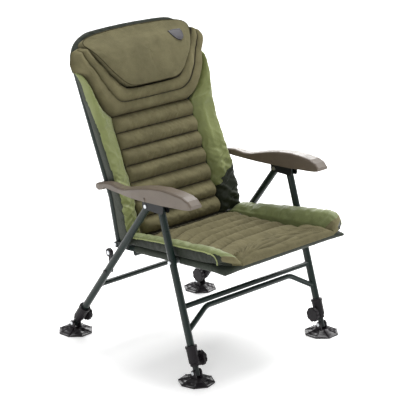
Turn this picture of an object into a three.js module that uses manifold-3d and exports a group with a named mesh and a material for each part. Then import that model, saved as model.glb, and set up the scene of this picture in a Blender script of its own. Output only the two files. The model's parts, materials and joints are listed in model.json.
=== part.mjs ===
// A folding fishing chair: tube frame, telescopic legs on swivel feet, armrests and a quilted mattress.
// Millimetres, +Z up. The sitter looks along -Y, and the legs stand on the plane z = 0.
import * as THREE from "three";
import { mergeVertices } from "three/addons/utils/BufferGeometryUtils.js";
import Module from "manifold-3d";

const wasm = await Module();
wasm.setup();

const degree = Math.PI / 180;

// Driving dimensions of the frame
const legPlane = 265; // centre plane of the legs, measured from the middle of the chair
const tubeRadius = 11;
const tubeWall = 1.4;
const barRadius = 8;
const barWall = 1.4;
const fitGap = 0.3; // running or seating clearance between two solids
const overrun = 3; // how far a cutting solid runs past what it cuts
const weldDepth = 1; // how far a welded or glued piece reaches into its carrier
const mergeStep = 0.0001;
const boltRadius = 4;

// Side view of the frame: places are given as distance back and height
const seatPivotBack = -174;
const seatPivotUp = 339;
const seatLean = 4.4 * degree;
const frontLegLean = 17.6 * degree;
const frontLegAbovePivot = 157;
const rearPivotBehindFrontLeg = 51;
const rearPivotBelowFrontLeg = 4;
const rearLegLean = 36.5 * degree;
const rearLegOverPivot = 7;
const footPinUp = 30;

// Cross members, measured down the leg from its pivot
const frontBarDown = 133;
const braceDown = 151;
const braceEndDown = 205;
const braceBendHalfSpan = 175;
const braceBendRadius = 45;
const rearBarDown = 375;
const strapBoltDown = 306;

// Telescopic leg ends, measured up the leg from the foot's pin
const collarUp = 19;
const collarLength = 60;
const collarRadius = 16;
const collarLipRadius = 17.5;
const collarLipLength = 8;
const collarNeckRadius = 13.5;
const collarNeckLength = 7;
const outerTubeEndUp = 50;
const innerLegRadius = 9.1;
const innerLegWall = 1.3;
const innerLegClear = 49; // from the top of an inner leg up to the strap bolt
const innerLegBelowPin = 9.5;
const knobUp = 36;
const knobRadius = 23.5;
const knobLobeDepth = 2.6;
const knobLobes = 8;
const knobThickness = 13;
const knobBevel = 2;
const knobScrewRadius = 3;
const bossRadius = 9;
const bossLength = 4.5;

// Swivel feet
const footAcrossFlats = 92;
const footSides = 8;
const footRimHeight = 6;
const footRimWidth = 7;
const footCrownRadius = 20;
const footCrownHeight = 14;
const footRecess = 4;
const footEarThickness = 5;
const footEarRadius = 9;
const footEarFootWidth = 17;
const footPinRadius = 3;
const footPinHeadRadius = 5.5;
const footPinHeadHeight = 2;

// Seat frame, in the seat's own plane: run is the distance behind the seat pivot, rise is upwards
const railSpacer = 10; // between the rail and the leg, on the pivot bolt
const railPlane = legPlane - 2 * tubeRadius - railSpacer;
const seatFrontRun = -182;
const seatCornerRadius = 42;
const railEndRun = 209;
const backPivotRun = 271.5;
const tongueStartRun = 190;
const tongueGap = 1.5;
const tongueThickness = 5;
const tongueHeight = 18;
const seatRearBarRun = 196;
const seatRearBarRise = -17;
const pivotShoulderRadius = 9;
const boltHeadRadius = 5.8;
const boltHeadHeight = 3;
const slimHeadHeight = 2;

// Backrest tube: run is the distance up the tube from the back pivot, front is towards the sitter
const backInset = 9; // from the rail's centre in to the back tube's
const backPlane = railPlane - backInset;
const tongueOuterPlane = backPlane + tubeRadius + tongueGap + tongueThickness;
const backLowerLean = 12.7 * degree;
const backUpperLean = 23.4 * degree;
const backBendStart = 112;
const backBendLength = 56;
const backTubeBelowPivot = 11;
const backTopRun = 618;
const backCornerRadius = 88;
const catchStudUp = 183;
const catchStudRadius = 6;
const catchStudHeight = 3;

// Armrest and the bracket that carries it on the leg tops
const armrestInset = 26; // from the leg's centre in to the armrest's inner face
const armrestInnerPlane = legPlane - armrestInset;
const armrestWidth = 45;
const armrestFrontReach = 190;
const armrestRearReach = 234;
const armrestCrown = 46;
const armrestDrop = 25;
const armrestWall = 2.5;
const armrestCornerRound = 5;
const armrestPivotUp = 21;
const bracketHalfWidth = 13;
const bracketSheet = 1.6;
const bracketFrontReach = 73;
const bracketRearReach = 13;
const bracketTop = 16;
const bracketBottom = -9;
const bracketCornerRadius = 7;
const bracketBossRadius = 9.5;

// Rear support strap and its ring, in the rear leg's own frame
const strapThickness = 3;
const strapGap = 0.5;
const strapPlane = legPlane - tubeRadius - strapGap - strapThickness / 2;
const strapHalfWidth = 9;
const ringBack = 32.6;
const ringUp = 45;
const ringRadius = 13.5;
const ringThickness = 8;
const ringBoltRadius = 6.5;
const ringBoltHeight = 2.5;

// Fabric and padding
const fabric = 1.5;
const sleeveGap = 0.3;
const softGap = 0.6;
const seatSlingRear = 185;
const bolsterInset = 44; // from the rail's centre in to the edge of the seat pad
const seatPadHalfWidth = railPlane - bolsterInset;
const seatPadFront = -209;
const seatSplitRun = 112;
const seatPadRear = 231;
const seatFlapBottom = 6; // height of the front flap's lower edge
const seatChannelPitch = 38;
const seatValley = 4.5;
const seatCrest = 12.5;
const seatFrontLift = 12;
const seatCrown = 4;
const bolsterOver = 14; // from the rail's centre out to the bolster's side
const bolsterOuter = railPlane + bolsterOver;
const bolsterHeight = 56;
const bolsterFront = -206;
const bolsterRound = 38; // how far the front corner is rounded back at the outer side
const bolsterCurl = 8; // how far the front end lifts off the rail at the outer side
const wingOver = 1; // how far the wings stand out past the back tube
const backHalfWidth = backPlane + tubeRadius + wingOver;
const pocketSkirt = 6;
const slingOverlapGap = 4;
const pocketBottom = backTopRun - backCornerRadius - pocketSkirt;
const backSlingTop = pocketBottom - slingOverlapGap;
const padWidthShare = 0.6865;
const padHalfWidth = padWidthShare * backHalfWidth;
const firstSeamRun = 366;
const rollsBottomRun = 12;
const rollBulge = 12;
const bottomSeamFront = 44;
const seamTuck = 1.8; // how far the rolls' ends are drawn in
const padBack = fabric + tubeRadius + sleeveGap + softGap;
const headOver = 12; // how far the head bands reach past the top of the back tube's centre line
const headHeight = backTopRun + headOver - firstSeamRun;
const headrestCrown = 70;
const bandHeight = 46; // of the band beside the headrest, above the sling
const bandBulge = 0.2; // of the height between two seams
const wingSplitRun = 200;
const wingBottomRun = 28;
const wingTopShare = 0.5076; // of the head height
const wingTopRun = firstSeamRun + wingTopShare * headHeight;
const wingHeight = 58;

// Counts
const tubeSides = 14;
const barSides = 10;
const sweptSides = 10;
const bendSteps = 4;

const paint = {
  tube: new THREE.MeshStandardMaterial({ color: 0x2f3a36, roughness: 0.35, metalness: 0.4 }),
  innerTube: new THREE.MeshStandardMaterial({ color: 0x2b3230, roughness: 0.4, metalness: 0.4 }),
  plastic: new THREE.MeshStandardMaterial({ color: 0x2e2b2d, roughness: 0.55, metalness: 0 }),
  armrest: new THREE.MeshStandardMaterial({ color: 0x75695b, roughness: 0.5, metalness: 0 }),
  zinc: new THREE.MeshStandardMaterial({ color: 0xc9ccd0, roughness: 0.3, metalness: 0.9 }),
  bracket: new THREE.MeshStandardMaterial({ color: 0x26292a, roughness: 0.4, metalness: 0.5 }),
  darkCloth: new THREE.MeshStandardMaterial({ color: 0x3a3f35, roughness: 0.9, metalness: 0 }),
  greenCloth: new THREE.MeshStandardMaterial({ color: 0x74854f, roughness: 0.85, metalness: 0 }),
  fleece: new THREE.MeshStandardMaterial({ color: 0x6b6448, roughness: 0.95, metalness: 0 }),
};

// Turns a closed geometry into a solid whose faces point out.
function toSolid(geometry) {
  const bare = new THREE.BufferGeometry();
  bare.setAttribute("position", geometry.getAttribute("position"));
  bare.setIndex(geometry.index);
  const merged = mergeVertices(bare, mergeStep);
  const vertProperties = new Float32Array(merged.getAttribute("position").array);
  const triVerts = new Uint32Array(merged.index.array);
  const solid = new wasm.Manifold(new wasm.Mesh({ numProp: 3, vertProperties, triVerts }));
  if (solid.volume() > 0) {
    return solid;
  }
  for (let corner = 0; corner < triVerts.length; corner += 3) {
    const first = triVerts[corner];
    triVerts[corner] = triVerts[corner + 1];
    triVerts[corner + 1] = first;
  }
  return new wasm.Manifold(new wasm.Mesh({ numProp: 3, vertProperties, triVerts }));
}

function toGeometry(solid) {
  const mesh = solid.getMesh();
  const positions = new Float32Array(mesh.numVert * 3);
  for (let vertex = 0; vertex < mesh.numVert; vertex += 1) {
    const start = vertex * mesh.numProp;
    positions.set(mesh.vertProperties.subarray(start, start + 3), vertex * 3);
  }
  const geometry = new THREE.BufferGeometry();
  geometry.setAttribute("position", new THREE.BufferAttribute(positions, 3));
  geometry.setIndex(new THREE.BufferAttribute(mesh.triVerts, 1));
  geometry.computeVertexNormals();
  return geometry;
}

const join = (...pieces) => pieces.map(toSolid).reduce((whole, piece) => whole.add(piece));
const cut = (solid, ...tools) => tools.map(toSolid).reduce((rest, tool) => rest.subtract(tool), solid);

function add(group, name, material, shape) {
  const geometry = toGeometry(shape.isBufferGeometry ? toSolid(shape) : shape);
  const mesh = new THREE.Mesh(geometry, material);
  mesh.name = name;
  group.add(mesh);
  return mesh;
}

function subgroup(parent, x, back, up, turn) {
  const group = new THREE.Group();
  group.position.set(x, back, up);
  group.rotation.x = turn;
  parent.add(group);
  return group;
}

// A round solid that points from one place to another, from [radius, distance along it] pairs.
function turned(from, to, profile, sides) {
  const outline = profile.map(([radius, distance]) => new THREE.Vector2(radius, distance));
  const geometry = new THREE.LatheGeometry(outline, sides);
  const direction = to.clone().sub(from).normalize();
  const axis = new THREE.Vector3(0, 1, 0);
  geometry.applyQuaternion(new THREE.Quaternion().setFromUnitVectors(axis, direction));
  return geometry.translate(from.x, from.y, from.z);
}

function rod(from, to, radius, sides = barSides) {
  const length = from.distanceTo(to);
  return turned(from, to, [[0, 0], [radius, 0], [radius, length], [0, length]], sides);
}

function pipe(from, to, radius, bore, sides = tubeSides) {
  const length = from.distanceTo(to);
  const profile = [[bore, 0], [radius, 0], [radius, length], [bore, length], [bore, 0]];
  return turned(from, to, profile, sides);
}

const spot = (x, back, up) => new THREE.Vector3(x, back, up);

// A rod across the chair between two distances from the middle, on one side of it.
function crossRod(side, inner, outer, back, up, radius, sides = barSides) {
  return rod(spot(side * inner, back, up), spot(side * outer, back, up), radius, sides);
}

function box(from, to) {
  const size = to.clone().sub(from);
  const middle = to.clone().add(from).multiplyScalar(0.5);
  return new THREE.BoxGeometry(size.x, size.y, size.z).translate(middle.x, middle.y, middle.z);
}

// Extrudes a side-view outline of [back, up] pairs across the chair from one plane to another.
function sidePlate(outline, inner, outer) {
  const shape = new THREE.Shape(outline.map(([back, up]) => new THREE.Vector2(back, up)));
  const geometry = new THREE.ExtrudeGeometry(shape, { depth: outer - inner, bevelEnabled: false });
  const turn = new THREE.Matrix4().makeBasis(spot(0, 1, 0), spot(0, 0, 1), spot(1, 0, 0));
  return geometry.applyMatrix4(turn).translate(inner, 0, 0);
}

function arcPoints(centreBack, centreUp, radius, fromAngle, toAngle, steps) {
  const points = [];
  for (let step = 0; step <= steps; step += 1) {
    const angle = THREE.MathUtils.lerp(fromAngle, toAngle, step / steps);
    points.push([centreBack + radius * Math.cos(angle), centreUp + radius * Math.sin(angle)]);
  }
  return points;
}

// A route whose stations are exactly the given points.
class Route extends THREE.Curve {
  constructor(points) {
    super();
    this.points = points;
  }

  getPoint(share, target = new THREE.Vector3()) {
    const place = share * (this.points.length - 1);
    const index = Math.min(Math.floor(place), this.points.length - 2);
    return target.lerpVectors(this.points[index], this.points[index + 1], place - index);
  }

  getPointAt(share, target) {
    return this.getPoint(share, target);
  }

  getTangentAt(share, target = new THREE.Vector3()) {
    const index = Math.round(share * (this.points.length - 1));
    const before = this.points[Math.max(index - 1, 0)];
    const after = this.points[Math.min(index + 1, this.points.length - 1)];
    return target.subVectors(after, before).normalize();
  }

  getSpacedPoints() {
    return this.points;
  }
}

// Corner places joined by straight runs, with each inner corner bent to a radius.
function bentRoute(corners, radius, steps = bendSteps) {
  const points = [corners[0]];
  for (let index = 1; index < corners.length - 1; index += 1) {
    const corner = corners[index];
    const arrive = corners[index - 1].clone().sub(corner).normalize();
    const leave = corners[index + 1].clone().sub(corner).normalize();
    const halfAngle = arrive.angleTo(leave) / 2;
    const setback = radius / Math.tan(halfAngle);
    const bisector = arrive.clone().add(leave).normalize();
    const centre = corner.clone().addScaledVector(bisector, radius / Math.sin(halfAngle));
    const start = corner.clone().addScaledVector(arrive, setback).sub(centre);
    const end = corner.clone().addScaledVector(leave, setback).sub(centre);
    const sweep = start.angleTo(end);
    for (let step = 0; step <= steps; step += 1) {
      const share = step / steps;
      const offset = start.clone().multiplyScalar(Math.sin((1 - share) * sweep) / Math.sin(sweep));
      offset.addScaledVector(end, Math.sin(share * sweep) / Math.sin(sweep));
      points.push(centre.clone().add(offset));
    }
  }
  points.push(corners[corners.length - 1]);
  return points;
}

const circlePoints = (radius, sides) =>
  Array.from({ length: sides }, (unused, side) => {
    const angle = (side / sides) * 2 * Math.PI;
    return new THREE.Vector2(radius * Math.cos(angle), radius * Math.sin(angle));
  });

function bentTube(points, radius, bore) {
  const section = new THREE.Shape(circlePoints(radius, sweptSides));
  section.holes.push(new THREE.Path(circlePoints(bore, sweptSides)));
  const extrudePath = new Route(points);
  return new THREE.ExtrudeGeometry(section, { steps: points.length - 1, extrudePath, bevelEnabled: false });
}

// Skins a row of outlines, each a list of [a, b] pairs, and closes both ends.
function loft(stations, placeAt) {
  const outlines = stations.map(({ outline }) => outline.map(([a, b]) => new THREE.Vector2(a, b)));
  if (THREE.ShapeUtils.isClockWise(outlines[0])) {
    outlines.forEach((outline) => outline.reverse());
  }
  const count = outlines[0].length;
  const places = [];
  outlines.forEach((outline, row) => {
    outline.forEach((point) => places.push(placeAt(point.x, point.y, stations[row].at)));
  });
  const faces = [];
  for (let row = 0; row < outlines.length - 1; row += 1) {
    for (let column = 0; column < count; column += 1) {
      const next = (column + 1) % count;
      const low = row * count;
      const high = low + count;
      faces.push(low + column, low + next, high + next);
      faces.push(low + column, high + next, high + column);
    }
  }
  const last = outlines.length - 1;
  THREE.ShapeUtils.triangulateShape(outlines[0], []).forEach(([a, b, c]) => faces.push(c, b, a));
  THREE.ShapeUtils.triangulateShape(outlines[last], []).forEach(([a, b, c]) => {
    faces.push(last * count + a, last * count + b, last * count + c);
  });
  const geometry = new THREE.BufferGeometry().setFromPoints(places);
  geometry.setIndex(faces);
  return geometry;
}

const mirrored = (half) => [...half, ...half.map(([x, ...rest]) => [-x, ...rest]).reverse()];

const chair = new THREE.Group();
const sides = [["left", -1], ["right", 1]];

// Places shared by the frames
const frontLegTopBack = seatPivotBack + frontLegAbovePivot * Math.sin(frontLegLean);
const frontLegTopUp = seatPivotUp + frontLegAbovePivot * Math.cos(frontLegLean);
const rearPivotBack = frontLegTopBack + rearPivotBehindFrontLeg;
const rearPivotUp = frontLegTopUp - rearPivotBelowFrontLeg;
const backPivotBack = seatPivotBack + backPivotRun * Math.cos(seatLean);
const backPivotUp = seatPivotUp - backPivotRun * Math.sin(seatLean);
const frontPinDown = (seatPivotUp - footPinUp) / Math.cos(frontLegLean);
const rearPinDown = (rearPivotUp - footPinUp) / Math.cos(rearLegLean);
const innerLegReach = rearPinDown - strapBoltDown - innerLegClear;

const frontFrame = subgroup(chair, 0, seatPivotBack, seatPivotUp, -frontLegLean);
const rearFrame = subgroup(chair, 0, rearPivotBack, rearPivotUp, rearLegLean);
const apex = subgroup(chair, 0, rearPivotBack, rearPivotUp, 0);
const seat = subgroup(chair, 0, seatPivotBack, seatPivotUp, -seatLean);
const backrest = subgroup(chair, 0, backPivotBack, backPivotUp, 0);

// Legs: an outer tube with a pivot hole, in a frame whose +Z runs up the leg
function leg(group, name, side, topUp, bottomUp, holes) {
  const x = side * legPlane;
  const tube = pipe(spot(x, 0, bottomUp), spot(x, 0, topUp), tubeRadius, tubeRadius - tubeWall);
  const reach = tubeRadius + overrun;
  const drillRadius = boltRadius + fitGap;
  const drills = holes.map((up) => crossRod(side, legPlane - reach, legPlane + reach, 0, up, drillRadius));
  add(group, name, paint.tube, cut(toSolid(tube), ...drills));
}

// The two legs as cutting tools, so that a cross bar seats on their round sides
const copeTools = (topUp, bottomUp) =>
  sides.map(([, side]) =>
    rod(
      spot(side * legPlane, 0, bottomUp),
      spot(side * legPlane, 0, topUp),
      tubeRadius + fitGap,
      tubeSides,
    ));

function crossBar(group, name, up, topUp, bottomUp) {
  const bar = pipe(spot(-legPlane, 0, up), spot(legPlane, 0, up), barRadius, barRadius - barWall, barSides);
  const middle = cut(toSolid(bar), ...copeTools(topUp, bottomUp)).decompose();
  middle.sort((first, second) => second.volume() - first.volume());
  add(group, name, paint.tube, middle[0]);
}

const innerLegBore = innerLegRadius - innerLegWall;

// The collar clamps the outer tube and guides the inner leg
function collar(group, name, side, pinUp) {
  const x = side * legPlane;
  const bottom = pinUp + collarUp;
  const outerEnd = pinUp + outerTubeEndUp - bottom;
  const neckTop = collarNeckLength + (collarRadius - collarNeckRadius);
  const lipBottom = collarLength - collarLipLength;
  const profile = [
    [innerLegRadius + fitGap, 0],
    [collarNeckRadius, 0],
    [collarNeckRadius, collarNeckLength],
    [collarRadius, neckTop],
    [collarRadius, lipBottom],
    [collarLipRadius, lipBottom],
    [collarLipRadius, collarLength],
    [tubeRadius + fitGap, collarLength],
    [tubeRadius + fitGap, outerEnd - fitGap],
    [innerLegRadius + fitGap, outerEnd - fitGap],
    [innerLegRadius + fitGap, 0],
  ];
  const body = turned(spot(x, 0, bottom), spot(x, 0, bottom + collarLength), profile, tubeSides);
  const bossInner = legPlane - collarRadius - bossLength;
  const boss = crossRod(side, bossInner, legPlane - collarRadius + overrun, 0, pinUp + knobUp, bossRadius);
  const boreRadius = innerLegRadius + fitGap;
  const bore = rod(spot(x, 0, bottom - overrun), spot(x, 0, bottom + outerEnd), boreRadius, tubeSides);
  const screwHoleRadius = knobScrewRadius + fitGap;
  const screwHole = crossRod(side, bossInner - overrun, legPlane, 0, pinUp + knobUp, screwHoleRadius);
  add(group, name, paint.plastic, cut(join(body, boss), bore, screwHole));
}

// A lobed hand knob whose screw presses on the inner leg
function lockKnob(group, name, side, pinUp) {
  const steps = knobLobes * 3;
  const outline = Array.from({ length: steps }, (unused, step) => {
    const angle = (step / steps) * 2 * Math.PI;
    const radius = knobRadius - knobBevel - knobLobeDepth * (0.5 + 0.5 * Math.cos(angle * knobLobes));
    return new THREE.Vector2(radius * Math.cos(angle), radius * Math.sin(angle));
  });
  const grip = new THREE.ExtrudeGeometry(new THREE.Shape(outline), {
    depth: knobThickness - 2 * knobBevel,
    bevelThickness: knobBevel,
    bevelSize: knobBevel,
    bevelSegments: 1,
  });
  const outerFace = legPlane - collarRadius - bossLength - fitGap;
  const gripStart = side > 0 ? outerFace - knobThickness : -outerFace;
  grip.rotateY(Math.PI / 2);
  grip.translate(gripStart + knobBevel, 0, pinUp + knobUp);
  const screwTip = legPlane - innerLegRadius - fitGap;
  const screw = crossRod(side, outerFace - weldDepth, screwTip, 0, pinUp + knobUp, knobScrewRadius);
  add(group, name, paint.plastic, join(grip, screw));
}

function telescopicEnd(group, corner, side, pinDown, lean) {
  const pinUp = -pinDown;
  const x = side * legPlane;
  collar(group, `${corner}_leg_collar`, side, pinUp);
  lockKnob(group, `${corner}_lock_knob`, side, pinUp);

  const tubeFrom = spot(x, 0, pinUp - innerLegBelowPin);
  const tubeTo = spot(x, 0, pinUp + innerLegReach);
  const tube = pipe(tubeFrom, tubeTo, innerLegRadius, innerLegBore);
  const reach = innerLegRadius + overrun;
  const pinHole = crossRod(side, legPlane - reach, legPlane + reach, 0, pinUp, footPinRadius + fitGap);
  add(group, `${corner}_inner_leg`, paint.innerTube, cut(toSolid(tube), pinHole));

  const ankle = subgroup(group, x, 0, pinUp, -lean);
  foot(ankle, `${corner}_foot`);
  footPin(ankle, `${corner}_foot_pin`);
}

const earInner = innerLegRadius + softGap;
const earOuter = earInner + footEarThickness;

// A domed eight-sided foot with two ears for its pin
function foot(group, name) {
  const rimRadius = footAcrossFlats / 2 / Math.cos(Math.PI / footSides);
  const profile = [
    [0, footRecess],
    [rimRadius - footRimWidth, footRecess],
    [rimRadius - footRimWidth, 0],
    [rimRadius, 0],
    [rimRadius, footRimHeight],
    [footCrownRadius, footCrownHeight],
    [0, footCrownHeight],
  ].map(([radius, up]) => new THREE.Vector2(radius, up));
  const plate = new THREE.LatheGeometry(profile, footSides, Math.PI / footSides);
  plate.rotateX(Math.PI / 2);
  plate.translate(0, 0, -footPinUp);
  const ears = [-1, 1].map((side) => {
    const outline = [
      [-footEarFootWidth, footCrownHeight - footPinUp - weldDepth],
      [footEarFootWidth, footCrownHeight - footPinUp - weldDepth],
      ...arcPoints(0, 0, footEarRadius, 0, Math.PI, bendSteps),
    ];
    const inner = side > 0 ? earInner : -earOuter;
    return sidePlate(outline, inner, inner + footEarThickness);
  });
  const pinHole = crossRod(1, -earOuter - overrun, earOuter + overrun, 0, 0, footPinRadius + fitGap);
  add(group, name, paint.plastic, cut(join(plate, ...ears), pinHole));
}

function footPin(group, name) {
  const headStart = earOuter + fitGap;
  const end = headStart + footPinHeadHeight;
  const profile = [
    [0, 0],
    [footPinHeadRadius, 0],
    [footPinHeadRadius, footPinHeadHeight],
    [footPinRadius, footPinHeadHeight],
    [footPinRadius, end + headStart],
    [footPinHeadRadius, end + headStart],
    [footPinHeadRadius, 2 * end],
    [0, 2 * end],
  ];
  add(group, name, paint.zinc, turned(spot(-end, 0, 0), spot(end, 0, 0), profile, barSides));
}

// A shouldered bolt across the chair, from [radius, distance from the middle] steps
function steppedBolt(group, name, side, back, up, steps) {
  const start = steps[0][1];
  const profile = steps.map(([radius, distance]) => [radius, distance - start]);
  const end = steps[steps.length - 1][1];
  const solid = turned(spot(side * start, back, up), spot(side * end, back, up), profile, barSides);
  add(group, name, paint.zinc, solid);
}

// Front frame: two legs, a straight bar and a bent brace under it
const frontTubeEnd = outerTubeEndUp - frontPinDown;
sides.forEach(([word, side]) => {
  leg(frontFrame, `front_leg_${word}`, side, frontLegAbovePivot, frontTubeEnd, [0]);
  telescopicEnd(frontFrame, `front_${word}`, side, frontPinDown, -frontLegLean);
});
crossBar(frontFrame, "front_cross_bar", -frontBarDown, frontLegAbovePivot, frontTubeEnd);

const braceRoute = bentRoute(
  [
    spot(-legPlane, 0, -braceEndDown),
    spot(-braceBendHalfSpan, 0, -braceDown),
    spot(braceBendHalfSpan, 0, -braceDown),
    spot(legPlane, 0, -braceEndDown),
  ],
  braceBendRadius,
);
const brace = cut(
  toSolid(bentTube(braceRoute, barRadius, barRadius - barWall)),
  ...copeTools(frontLegAbovePivot, frontTubeEnd),
).decompose();
brace.sort((first, second) => second.volume() - first.volume());
add(frontFrame, "front_brace", paint.tube, brace[0]);

// Rear frame: two legs, a straight bar, and the straps that tie it to the seat
const rearTubeEnd = outerTubeEndUp - rearPinDown;
sides.forEach(([word, side]) => {
  leg(rearFrame, `rear_leg_${word}`, side, rearLegOverPivot, rearTubeEnd, [0, -strapBoltDown]);
  telescopicEnd(rearFrame, `rear_${word}`, side, rearPinDown, rearLegLean);
});
crossBar(rearFrame, "rear_cross_bar", -rearBarDown, rearLegOverPivot, rearTubeEnd);

const strapInner = strapPlane - strapThickness / 2;
const strapOuter = strapPlane + strapThickness / 2;
const legOuter = legPlane + tubeRadius;

sides.forEach(([word, side]) => {
  const tilt = Math.atan2(ringUp, ringBack);
  const outline = [
    ...arcPoints(ringBack, ringUp, strapHalfWidth, tilt - Math.PI / 2, tilt + Math.PI / 2, bendSteps),
    ...arcPoints(0, 0, strapHalfWidth, tilt + Math.PI / 2, tilt + Math.PI * 1.5, bendSteps),
  ].map(([back, up]) => [back, up - strapBoltDown]);
  const from = side > 0 ? strapInner : -strapOuter;
  const plate = sidePlate(outline, from, from + strapThickness);
  const headStart = legOuter + fitGap;
  const headEnd = headStart + boltHeadHeight;
  const shank = crossRod(side, strapInner + fitGap, headStart + weldDepth, 0, -strapBoltDown, boltRadius);
  const head = crossRod(side, headStart, headEnd, 0, -strapBoltDown, boltHeadRadius);
  const eye = crossRod(
    side, strapInner - overrun, strapOuter + overrun, ringBack, ringUp - strapBoltDown, boltRadius + fitGap);
  add(rearFrame, `support_strap_${word}`, paint.bracket, cut(join(plate, shank, head), eye));

  steppedBolt(rearFrame, `support_ring_${word}`, side, ringBack, ringUp - strapBoltDown, [
    [0, strapInner],
    [boltRadius, strapInner],
    [boltRadius, strapOuter + fitGap],
    [ringRadius, strapOuter + fitGap],
    [ringRadius, strapOuter + fitGap + ringThickness],
    [ringBoltRadius, strapOuter + fitGap + ringThickness],
    [ringBoltRadius, strapOuter + fitGap + ringThickness + ringBoltHeight],
    [0, strapOuter + fitGap + ringThickness + ringBoltHeight],
  ]);
});

// Apex: the sheet bracket over both leg tops, its bolts, and the armrest that tilts on it
const slotHalfWidth = bracketHalfWidth - bracketSheet;
const armrestOuterPlane = armrestInnerPlane + armrestWidth;

function bracket(word, side) {
  const corner = bracketCornerRadius;
  const outline = [
    ...arcPoints(corner - bracketFrontReach, bracketBottom + corner, corner, Math.PI, Math.PI * 1.5, 2),
    ...arcPoints(bracketRearReach - corner, bracketBottom + corner, corner, -Math.PI / 2, 0, 2),
    [bracketRearReach, bracketTop],
    [-bracketFrontReach, bracketTop],
  ];
  const inner = side > 0 ? legPlane - bracketHalfWidth : -legPlane - bracketHalfWidth;
  const block = sidePlate(outline, inner, inner + 2 * bracketHalfWidth);
  const innerPlane = legPlane - bracketHalfWidth;
  const outerPlane = legPlane + bracketHalfWidth;
  const boss = crossRod(side, innerPlane, outerPlane, 0, armrestPivotUp, bracketBossRadius, tubeSides);
  const slot = box(
    spot(side * legPlane - slotHalfWidth, -bracketFrontReach - overrun, bracketBottom - overrun),
    spot(side * legPlane + slotHalfWidth, bracketRearReach + overrun, bracketTop - bracketSheet),
  );
  const drill = (back, up) =>
    crossRod(side, innerPlane - overrun, outerPlane + overrun, back, up, boltRadius + fitGap);
  const solid = cut(join(block, boss), slot, drill(0, 0), drill(0, armrestPivotUp));
  add(apex, `armrest_bracket_${word}`, paint.bracket, solid);
}

const pivotShare = 0.4481;
const armrestShares = [
  // length, top, bottom, width
  [0, 0.5, 0.52, 0.97],
  [0.029, 0.76, 0.4, 1],
  [0.078, 0.92, 0.28, 1],
  [0.165, 0.99, 0.08, 1],
  [0.272, 1, -0.04, 1],
  [0.389, 0.87, -0.16, 1],
  [0.496, 0.66, -0.28, 1],
  [0.583, 0.43, -0.36, 0.95],
  [0.67, 0.2, -0.4, 0.84],
  [0.738, 0.13, -0.42, 0.74],
  [0.826, 0.2, -0.44, 0.66],
  [0.8745, 0.15, -0.4, 0.62],
  [0.899, 0.1, -0.34, 0.6],
  [0.923, 0.05, -0.8, 0.58],
  [0.965, -0.05, -1, 0.56],
  [1, -0.3, -0.85, 0.5],
];
const hollowShares = [
  // length, top
  [0.058, 0.7],
  [0.165, 0.87],
  [0.272, 0.88],
  [0.389, 0.76],
  [0.496, 0.55],
  [0.564, 0.36],
];

function armrest(word, side) {
  const group = subgroup(apex, 0, 0, armrestPivotUp, 0);
  const along = (share) =>
    share < pivotShare
      ? armrestFrontReach * (share / pivotShare - 1)
      : (armrestRearReach * (share - pivotShare)) / (1 - pivotShare);
  const above = (share) => (share > 0 ? share * armrestCrown : share * armrestDrop);
  const lipUp = (share, place) => (place < 0.1 ? share * armrestDrop : above(share));
  const placeAt = (across, up, back) => spot(side * across, back, up);
  const body = loft(
    armrestShares.map(([place, top, bottom, width]) => {
      const outer = armrestInnerPlane + width * armrestWidth;
      const topUp = above(top);
      const round = armrestCornerRound;
      return {
        at: along(place),
        outline: [
          [armrestInnerPlane, lipUp(bottom, place)],
          [armrestInnerPlane, topUp - round],
          [armrestInnerPlane + round / 3, topUp - round / 3],
          [armrestInnerPlane + round, topUp],
          [outer - round, topUp],
          [outer - round / 3, topUp - round / 3],
          [outer, topUp - round],
          [outer, lipUp(bottom, place)],
        ],
      };
    }),
    placeAt,
  );
  const hollow = loft(
    hollowShares.map(([place, top]) => ({
      at: along(place),
      outline: [
        [armrestInnerPlane + armrestWall, -armrestDrop - overrun],
        [armrestInnerPlane + armrestWall, above(top)],
        [armrestOuterPlane - armrestWall, above(top)],
        [armrestOuterPlane - armrestWall, -armrestDrop - overrun],
      ],
    })),
    placeAt,
  );
  const drill = crossRod(
    side, armrestInnerPlane - overrun, armrestOuterPlane + overrun, 0, 0, boltRadius + fitGap);
  add(group, `armrest_${word}`, paint.armrest, cut(toSolid(body), hollow, drill));
}

sides.forEach(([word, side]) => {
  bracket(word, side);
  armrest(word, side);
  const innerPlane = legPlane - bracketHalfWidth - fitGap;
  const outerPlane = legPlane + bracketHalfWidth + fitGap;
  steppedBolt(apex, `rear_leg_bolt_${word}`, side, 0, 0, [
    [0, innerPlane - slimHeadHeight],
    [boltHeadRadius, innerPlane - slimHeadHeight],
    [boltHeadRadius, innerPlane],
    [boltRadius, innerPlane],
    [boltRadius, outerPlane],
    [boltHeadRadius, outerPlane],
    [boltHeadRadius, outerPlane + slimHeadHeight],
    [0, outerPlane + slimHeadHeight],
  ]);
  const armInner = armrestInnerPlane - fitGap;
  const armOuter = armrestOuterPlane + fitGap;
  steppedBolt(apex, `armrest_bolt_${word}`, side, 0, armrestPivotUp, [
    [0, armInner - slimHeadHeight],
    [boltHeadRadius, armInner - slimHeadHeight],
    [boltHeadRadius, armInner],
    [boltRadius, armInner],
    [boltRadius, armOuter],
    [boltHeadRadius, armOuter],
    [boltHeadRadius, armOuter + slimHeadHeight],
    [0, armOuter + slimHeadHeight],
  ]);
});

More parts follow.
